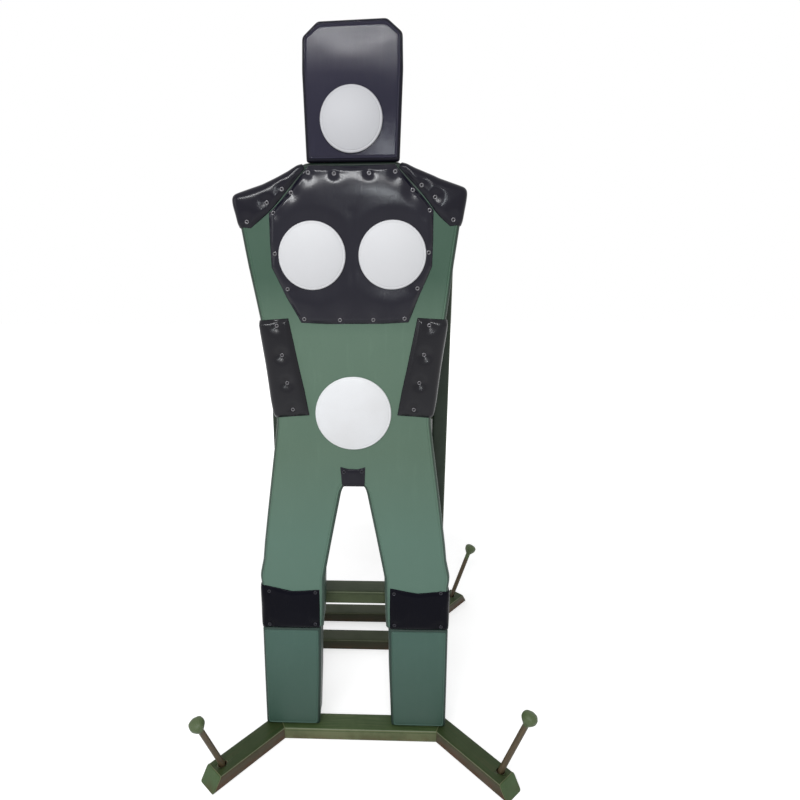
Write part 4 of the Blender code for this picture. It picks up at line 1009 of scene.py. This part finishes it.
black = leatherette("chest_leather", (0.0050, 0.0045, 0.0110), (0.0075, 0.0068, 0.0145), 0.205, 0.27,
                    grain_depth=0.00002, slack_depth=0.0003)
cap_black = leatherette("cap_leather", (0.0040, 0.0036, 0.0088), (0.0060, 0.0054, 0.0116), 0.205, 0.20,
                        grain_depth=0.00002, slack_depth=0.0003)
flank_black = leatherette("flank_leather", (0.0040, 0.0038, 0.0065), (0.0060, 0.0058, 0.0090), 0.23, 0.25,
                          grain_depth=0.00002, slack_depth=0.0003)
# The knee bands' leather is a darker, duller copy of the black leather: painted shade low on the figure.
shaded_knee_black = leatherette("knee_leather", (0.0010, 0.0010, 0.0040), (0.0018, 0.0018, 0.0060), 0.28, 0.07,
                         grain_depth=0.00004, slack_depth=0.0010)
seats = {}

edge = np.array(CHEST_SIDE)
top = np.array([edge[0] * (-1, 1), (0, 1.4785), edge[0]])
bottom = np.array([edge[-1] * (-1, 1), (-0.06, 1.147), (0.06, 1.147), edge[-1]])
across, upward = eased(0.30, 0.0020), eased(0.34, 0.0020)
right = resample(edge[::-1], edge[::-1], upward)
plan = coons(resample(bottom, bottom, across), resample(top, top, across), right * (-1, 1), right, across, upward)
plan[..., 0] += 0.0045 * smooth((1.215 - plan[..., 1]) / 0.065)
rivets = CHEST_RIVETS + [(-x, z) for x, z in CHEST_RIVETS] + CHEST_LOW_RIVETS
seats["chest"] = make_leather(
    "chest_leather_panel", settled(front_point(plan, body_line, BODY_CROWN)), rivets, 0.0070, black, "chest_panel",
    0.0016, (0.0, 1.385, 0.0, 1.215, 0.008, 0.0030),
    [(side * CHEST_TARGET_X, CHEST_TARGET_Z, PRESS_RADIUS) for hand, side in HANDS])

across, upward = eased(0.060, 0.0022), eased(0.050, 0.0022)
top = np.array([(-0.0322, 0.803), (-0.014, 0.798), (0.010, 0.797), (0.028, 0.8025)])
bottom = np.array([(-0.0285, 0.7512), (0.0262, 0.7512)])
left, right = (bottom[end] + upward[:, None] * (top[end] - bottom[end]) for end in (0, -1))
plan = coons(resample(bottom, bottom, across), resample(top, top, across), left, right, across, upward)
seats["patch"] = make_leather("crotch_leather_patch", front_point(plan, body_line, BODY_CROWN), PATCH_RIVETS,
                              0.0024, cap_black, "crotch_patch", 0.001)


def wrapped_base(side, first, last, inner, start_line=(), end_line=(), low=None, pitch=0.0021):
    """A panel's seat: ruled over the front from its inner edge, then round the pad's corner and back."""
    moved = body_line[5:39]
    steps = mitre_steps(body_line)[5:39]
    span = slice(first, last + 1)
    along = eased(run_of(moved[span])[-1], pitch)

    def rim(inset):
        line = (moved - steps * inset)[span]
        line[-1, 1] = low or line[-1, 1]
        return softened(resample(line, moved[span], along), 3, closed=False)

    edge, inner = rim(EDGE_ROUND), np.array(inner)
    begin = np.vstack((inner[:1], np.array(start_line).reshape(-1, 2), edge[:1]))
    finish = np.vstack((inner[-1:], np.array(end_line).reshape(-1, 2), edge[-1:]))
    upward = eased(max(run_of(begin)[-1], run_of(finish)[-1]), pitch, high=False)
    plan = coons(resample(inner, inner, along), edge, resample(begin, begin, upward),
                 resample(finish, finish, upward), along, upward)
    rows = [front_point(plan, body_line, BODY_CROWN)]
    arc = np.linspace(0, math.pi / 2, 13)[1:]
    path = list(zip(EDGE_ROUND * (1 - np.sin(arc)) - 0.0006, EDGE_ROUND * (1 - np.cos(arc)) - 0.0003))
    back = EDGE_ROUND + eased(WRAP_DEPTH - EDGE_ROUND, 0.004, low=False) * (WRAP_DEPTH - EDGE_ROUND)
    for inset, depth in path + [(-0.0006, depth) for depth in back[1:]]:
        plan = rim(inset)
        rounding = np.sqrt(EDGE_ROUND ** 2 - np.clip(KNEE_LINE + EDGE_ROUND - plan[:, 1], 0, EDGE_ROUND) ** 2)
        rows.append(stood(plan, np.maximum(depth, EDGE_ROUND - rounding))[None])
    base = np.concatenate(rows)
    if side < 0:
        base[..., 0] = 2 * BODY_X - base[..., 0]
    if low:
        share = (np.abs(base[..., 0] - BODY_X) - 0.09) / 0.15
        inner_tip, outer_tip = (-0.004, 0.001) if side < 0 else (0.003, -0.011)
        base[..., 2] += smooth((base[..., 2] - 0.40) / 0.07) * (inner_tip + (outer_tip - inner_tip) * share)
    return settled(base)


for hand, side in HANDS:
    for name, node, rivets, rise, material, *outline in (
            ("shoulder_leather_cap_", "shoulder_cap_", CAP_RIVETS, 0.0066, cap_black, 1, 7, CAP_INNER),
            ("flank_leather_panel_", "flank_panel_", FLANK_RIVETS, 0.0070, flank_black, 10, 14, FLANK_INNER),
            ("knee_leather_band_", "knee_band_", KNEE_RIVETS, 0.0034, shaded_knee_black, 23, 25, KNEE_INNER,
             [(0.160, 0.4625)], [(0.165, 0.3491)], BAND_LOW)):
        seats[name + hand] = make_leather(name + hand, wrapped_base(side, *outline),
                                          [(side * x, z) for x, z in rivets], rise, material, node + hand)

# Rivets.  Each leather is held by hollow nickel rivets whose rolled rims stand
# a little proud of the dimple they pull; the bore is painted dark as shade, and
# the rivets low on the figure are painted darker as shade.
RIVET_PROFILE = [(0.0, -0.0012), (0.0047, -0.0012), (0.005, -0.0002), (0.005, 0.0007), (0.0047, 0.0014),
                 (0.0041, 0.002), (0.0034, 0.0022), (0.0027, 0.002), (0.0021, 0.0013), (0.0019, 0.0004),
                 (0.0012, 0.0001), (0.0, 0.0)]
look = Finish("dull_nickel", metallic=0.85, specular_ior_level=0.5)
tarnish = look.noise(look.place, 420, 3, 0.6)
colour = look.blend(look.spread(tarnish, 0.35, 0.7), (0.17, 0.165, 0.175), (0.09, 0.087, 0.095))
# Darker below the waist, at the crotch patch and knee bands: painted shade.
colour = look.blend(look.spread(look.axes["Z"], 0.90, 0.84), colour, (0.035, 0.034, 0.042))
# Darker in the bore: painted shade in the hollow.
colour = look.blend(look.spread(look.lay_axes["Z"], 0.0023, 0.0018), colour, (0.008, 0.008, 0.009))
nickel = look.finish(colour, look.spread(tarnish, 0.3, 0.7, 0.26, 0.44))
for name, places in seats.items():
    make_piece("rivets_" + name, [turned(RIVET_PROFILE, spot, (0, -1, 0), 20) for spot in places], nickel,
               sharp=50)

# Targets.  Round white leather pads with a soft crown, turned under and sewn
# near the rim, fixed to the head, the chest panel and the belly.  Each row is
# x, z, radius and how far the target stands off the pads' front.
TARGETS = {"target_head": (0.0, 1.567, 0.0646, 0.00176),
           "target_chest_left": (-CHEST_TARGET_X, CHEST_TARGET_Z, 0.073, 0.0092),
           "target_chest_right": (CHEST_TARGET_X, CHEST_TARGET_Z, 0.073, 0.0092),
           "target_belly": (0.0, 0.937, 0.0888, 0.00176)}
TARGET_SEGMENTS = 144
STITCHES = 36
look = Finish("white_leather", specular_ior_level=0.4)
pebble = pebbled(look, 700.0, 0.2)
cloud = look.noise(look.place, 9, 3, 0.55)
colour = look.blend(look.spread(cloud, 0.3, 0.7), (0.80, 0.81, 0.83), (0.74, 0.74, 0.75))
# Greyer from the chest up and greyer still on the head: painted shade.
colour = look.blend(look.spread(look.axes["Z"], 1.05, 1.2), colour, (0.61, 0.61, 0.625))
colour = look.blend(look.spread(look.axes["Z"], 1.45, 1.48), colour, (0.46, 0.46, 0.48))
colour = look.blend(look.spread(pebble, 0.0, 0.5, 0.12, 0), colour, (0.42, 0.42, 0.42))
white = look.finish(colour, look.spread(cloud, 0.3, 0.7, 0.42, 0.5),
                    (look.noise(look.place, 30, 2), 0.1, 0.002), (pebble, 0.35, 0.0002))
for name, (x, z, radius, standing) in TARGETS.items():
    share = np.concatenate((np.linspace(0, 0.9, 34), np.linspace(0.9, 0.985, 22)[1:]))
    dome = 0.0034 + 0.0095 * (1 - share ** 2) ** 0.85
    dome -= 0.0006 * np.exp(-((share * radius - radius + 0.0048) / 0.0008) ** 2)
    profile = np.vstack((np.stack((share * radius, dome), 1), [
        (radius - 0.0006, 0.0030), (radius, 0.0020), (radius - 0.0002, 0.0010), (radius - 0.001, 0.0), (0.0, 0.0)]))
    points, *rest = turned(profile, (x + BODY_X, FRONT_Y - standing - CLEAR, z), (0, -1, 0), TARGET_SEGMENTS)
    pull = 0.00022 * np.exp(-((profile[:, 0] - radius + 0.004) / 0.003) ** 2) * (profile[:, 1] > 0.0025)
    angle = np.arange(TARGET_SEGMENTS) * 2 * math.pi / TARGET_SEGMENTS
    points[..., 1] += pull[:, None] * np.cos(angle * STITCHES)[None]
    made = make_piece(name + "_pad", [(points, *rest)], white, replaces=[name], sharp=60)

# Staples.  Fine wire staples hold the hems behind the board, one every few
# centimetres, left out where the posts and crossbars press on the back.
STAPLE_PITCH = 0.034
WIRE = 0.00055
shin, shin_hem = np.array(SHIN_RIGHT), np.array(SHIN_HEM)
hems = [(head_line, both_sides(HEAD_HEM)), (body_line, both_sides(BODY_HEM)),
        (shin[::-1] * (-1, 1), shin_hem[::-1] * (-1, 1)), (shin, shin_hem)]
spots, turns = [], []
for line, hem in hems:
    loop = np.vstack((line, line[:1]))
    count = int(run_of(loop)[-1] / STAPLE_PITCH)
    share = (np.arange(count) + 0.5) / count
    ring = resample(loop, loop, share)
    spots.append(ring * 0.38 + nearest_on(ring, hem)[0] * 0.62)
    ahead = resample(loop, loop, np.clip(share + 0.002, 0, 1)) - ring
    turns.append(np.arctan2(ahead[:, 1], ahead[:, 0]) + 0.35 * np.sin(np.arange(len(ring)) * 2.4))
spots, turns = np.vstack(spots) + (BODY_X, 0), np.concatenate(turns)
clear = (np.abs(np.abs(spots[:, 0]) - POST_X) > 0.026) | (spots[:, 1] > POST_TOP + 0.01)
for height in BAR_HEIGHTS.values():
    clear &= (np.abs(spots[:, 1] - height) > 0.026) | (np.abs(spots[:, 0]) > POST_X)
spots, turns = spots[clear] - (BODY_X, 0), turns[clear]
reach = np.array((-0.0052, -0.0050, -0.0042, 0.0042, 0.0050, 0.0052))[:, None]
lift = np.array((-0.0012, 0.0001, 0.0004, 0.0004, 0.0001, -0.0012))[:, None]
angle = np.arange(6)[:, None] * math.pi / 3
flat, backward = np.zeros(len(turns)), np.array((0, 1, 0))
direction = np.stack((np.cos(turns), flat, np.sin(turns)), 1)[:, None]
sideways = np.stack((-np.sin(turns), flat, np.cos(turns)), 1)[:, None, None]
centre = stood(spots, PAD_DEPTH)[:, None] + reach * direction + lift * backward
points = centre[:, :, None] + WIRE * np.cos(angle) * sideways + WIRE * 0.7 * np.sin(angle) * backward
make_piece("hem_staples", [(grid, False, True, None) for grid in points], zinc, sharp=60)

# Ground spikes.  Forged steel pins with a drawn point and a flared head,
# peened by the hammer; green paint is left on the heads, and the shanks have
# rusted brown.  Each slides along its own axis through its foot.
SPIKE_RADIUS = 0.0075
SPIKE_HEAD_RADIUS = 0.0190
SPIKE_HEAD_CONE = 0.022
SPIKE_LIFTS = {"front_left": 0.0, "front_right": 0.0, "rear_left": 0.0, "rear_right": 0.019}
SPIKE_SHOWN = 0.1745
SPIKE_SEGMENTS = 40

look = Finish("spike_steel_paint", specular_ior_level=0.45)
streaks = look.noise(look.lay, 1.0, 4, 0.6, stretch=(2.2, 26, 0))
pits = look.noise(look.place, 330, 4, 0.65)
rust = look.blend(look.spread(streaks, 0.35, 0.65), (0.100, 0.070, 0.030), (0.044, 0.026, 0.015))
olive = look.blend(look.spread(pits, 0.35, 0.7), (0.062, 0.100, 0.034), (0.095, 0.125, 0.055))
head_share = look.work_out("ADD", look.spread(look.lay_axes["Y"], 0.148, 0.158),
                           look.spread(streaks, 0.5, 0.8, 0, 0.35), True)
spike_paint = look.finish(look.blend(head_share, rust, olive), look.spread(pits, 0.3, 0.7, 0.42, 0.62),
                          (pits, 0.5, 0.0006), (streaks, 0.3, 0.0006))
for number, place in enumerate(SPIKE_HOLES):
    spot, axis = spike_hole(place)
    deep = TUBE[1] / axis[2] - 0.0012 - SPIKE_LIFTS[place]
    top = SPIKE_SHOWN + SPIKE_LIFTS[place]
    neck = top - SPIKE_HEAD_CONE
    point, flare, dome = np.linspace(0, 1, 10), np.linspace(0, 1, 11)[1:], np.linspace(0, math.pi / 2, 12)[1:]
    tip = np.stack((SPIKE_RADIUS * np.sqrt(point) * (0.55 + 0.45 * point), -deep + 0.040 * point), 1)
    shank = np.stack((np.full(24, SPIKE_RADIUS), np.linspace(-deep + 0.043, neck, 24)), 1)
    cone = np.stack((SPIKE_RADIUS + (SPIKE_HEAD_RADIUS - SPIKE_RADIUS) * np.sin(flare * math.pi / 2) ** 1.15,
                     neck + SPIKE_HEAD_CONE * flare), 1)
    head = np.stack((SPIKE_HEAD_RADIUS * np.cos(dome) ** 0.85, top + 0.0030 + 0.0115 * np.sin(dome)), 1)
    head[-1, 0] = 0
    profile = np.vstack((tip, shank, cone, [(SPIKE_HEAD_RADIUS, top + 0.0030)], head))
    points, *rest = turned(profile, spot, axis, SPIKE_SEGMENTS)
    centre = (spot + profile[:, 1, None] * axis)[:, None]
    angle = np.arange(SPIKE_SEGMENTS) * 2 * math.pi / SPIKE_SEGMENTS
    peened = 0.035 * np.cos(3 * angle + number) + 0.022 * np.cos(7 * angle + 2 * number)
    beaten = smooth((profile[:, 1] - neck) / 0.012)[:, None]
    points = centre + (points - centre) * (1 + peened * beaten)[..., None]
    dent = 0.0006 * beaten * np.cos(2 * angle + number) * (profile[:, :1] / SPIKE_HEAD_RADIUS)
    make_piece("spike_" + place + "_pin", [(points + dent[..., None] * axis, *rest)], spike_paint,
               body="spike_" + place, replaces=["ground_spike_" + place], sharp=50)
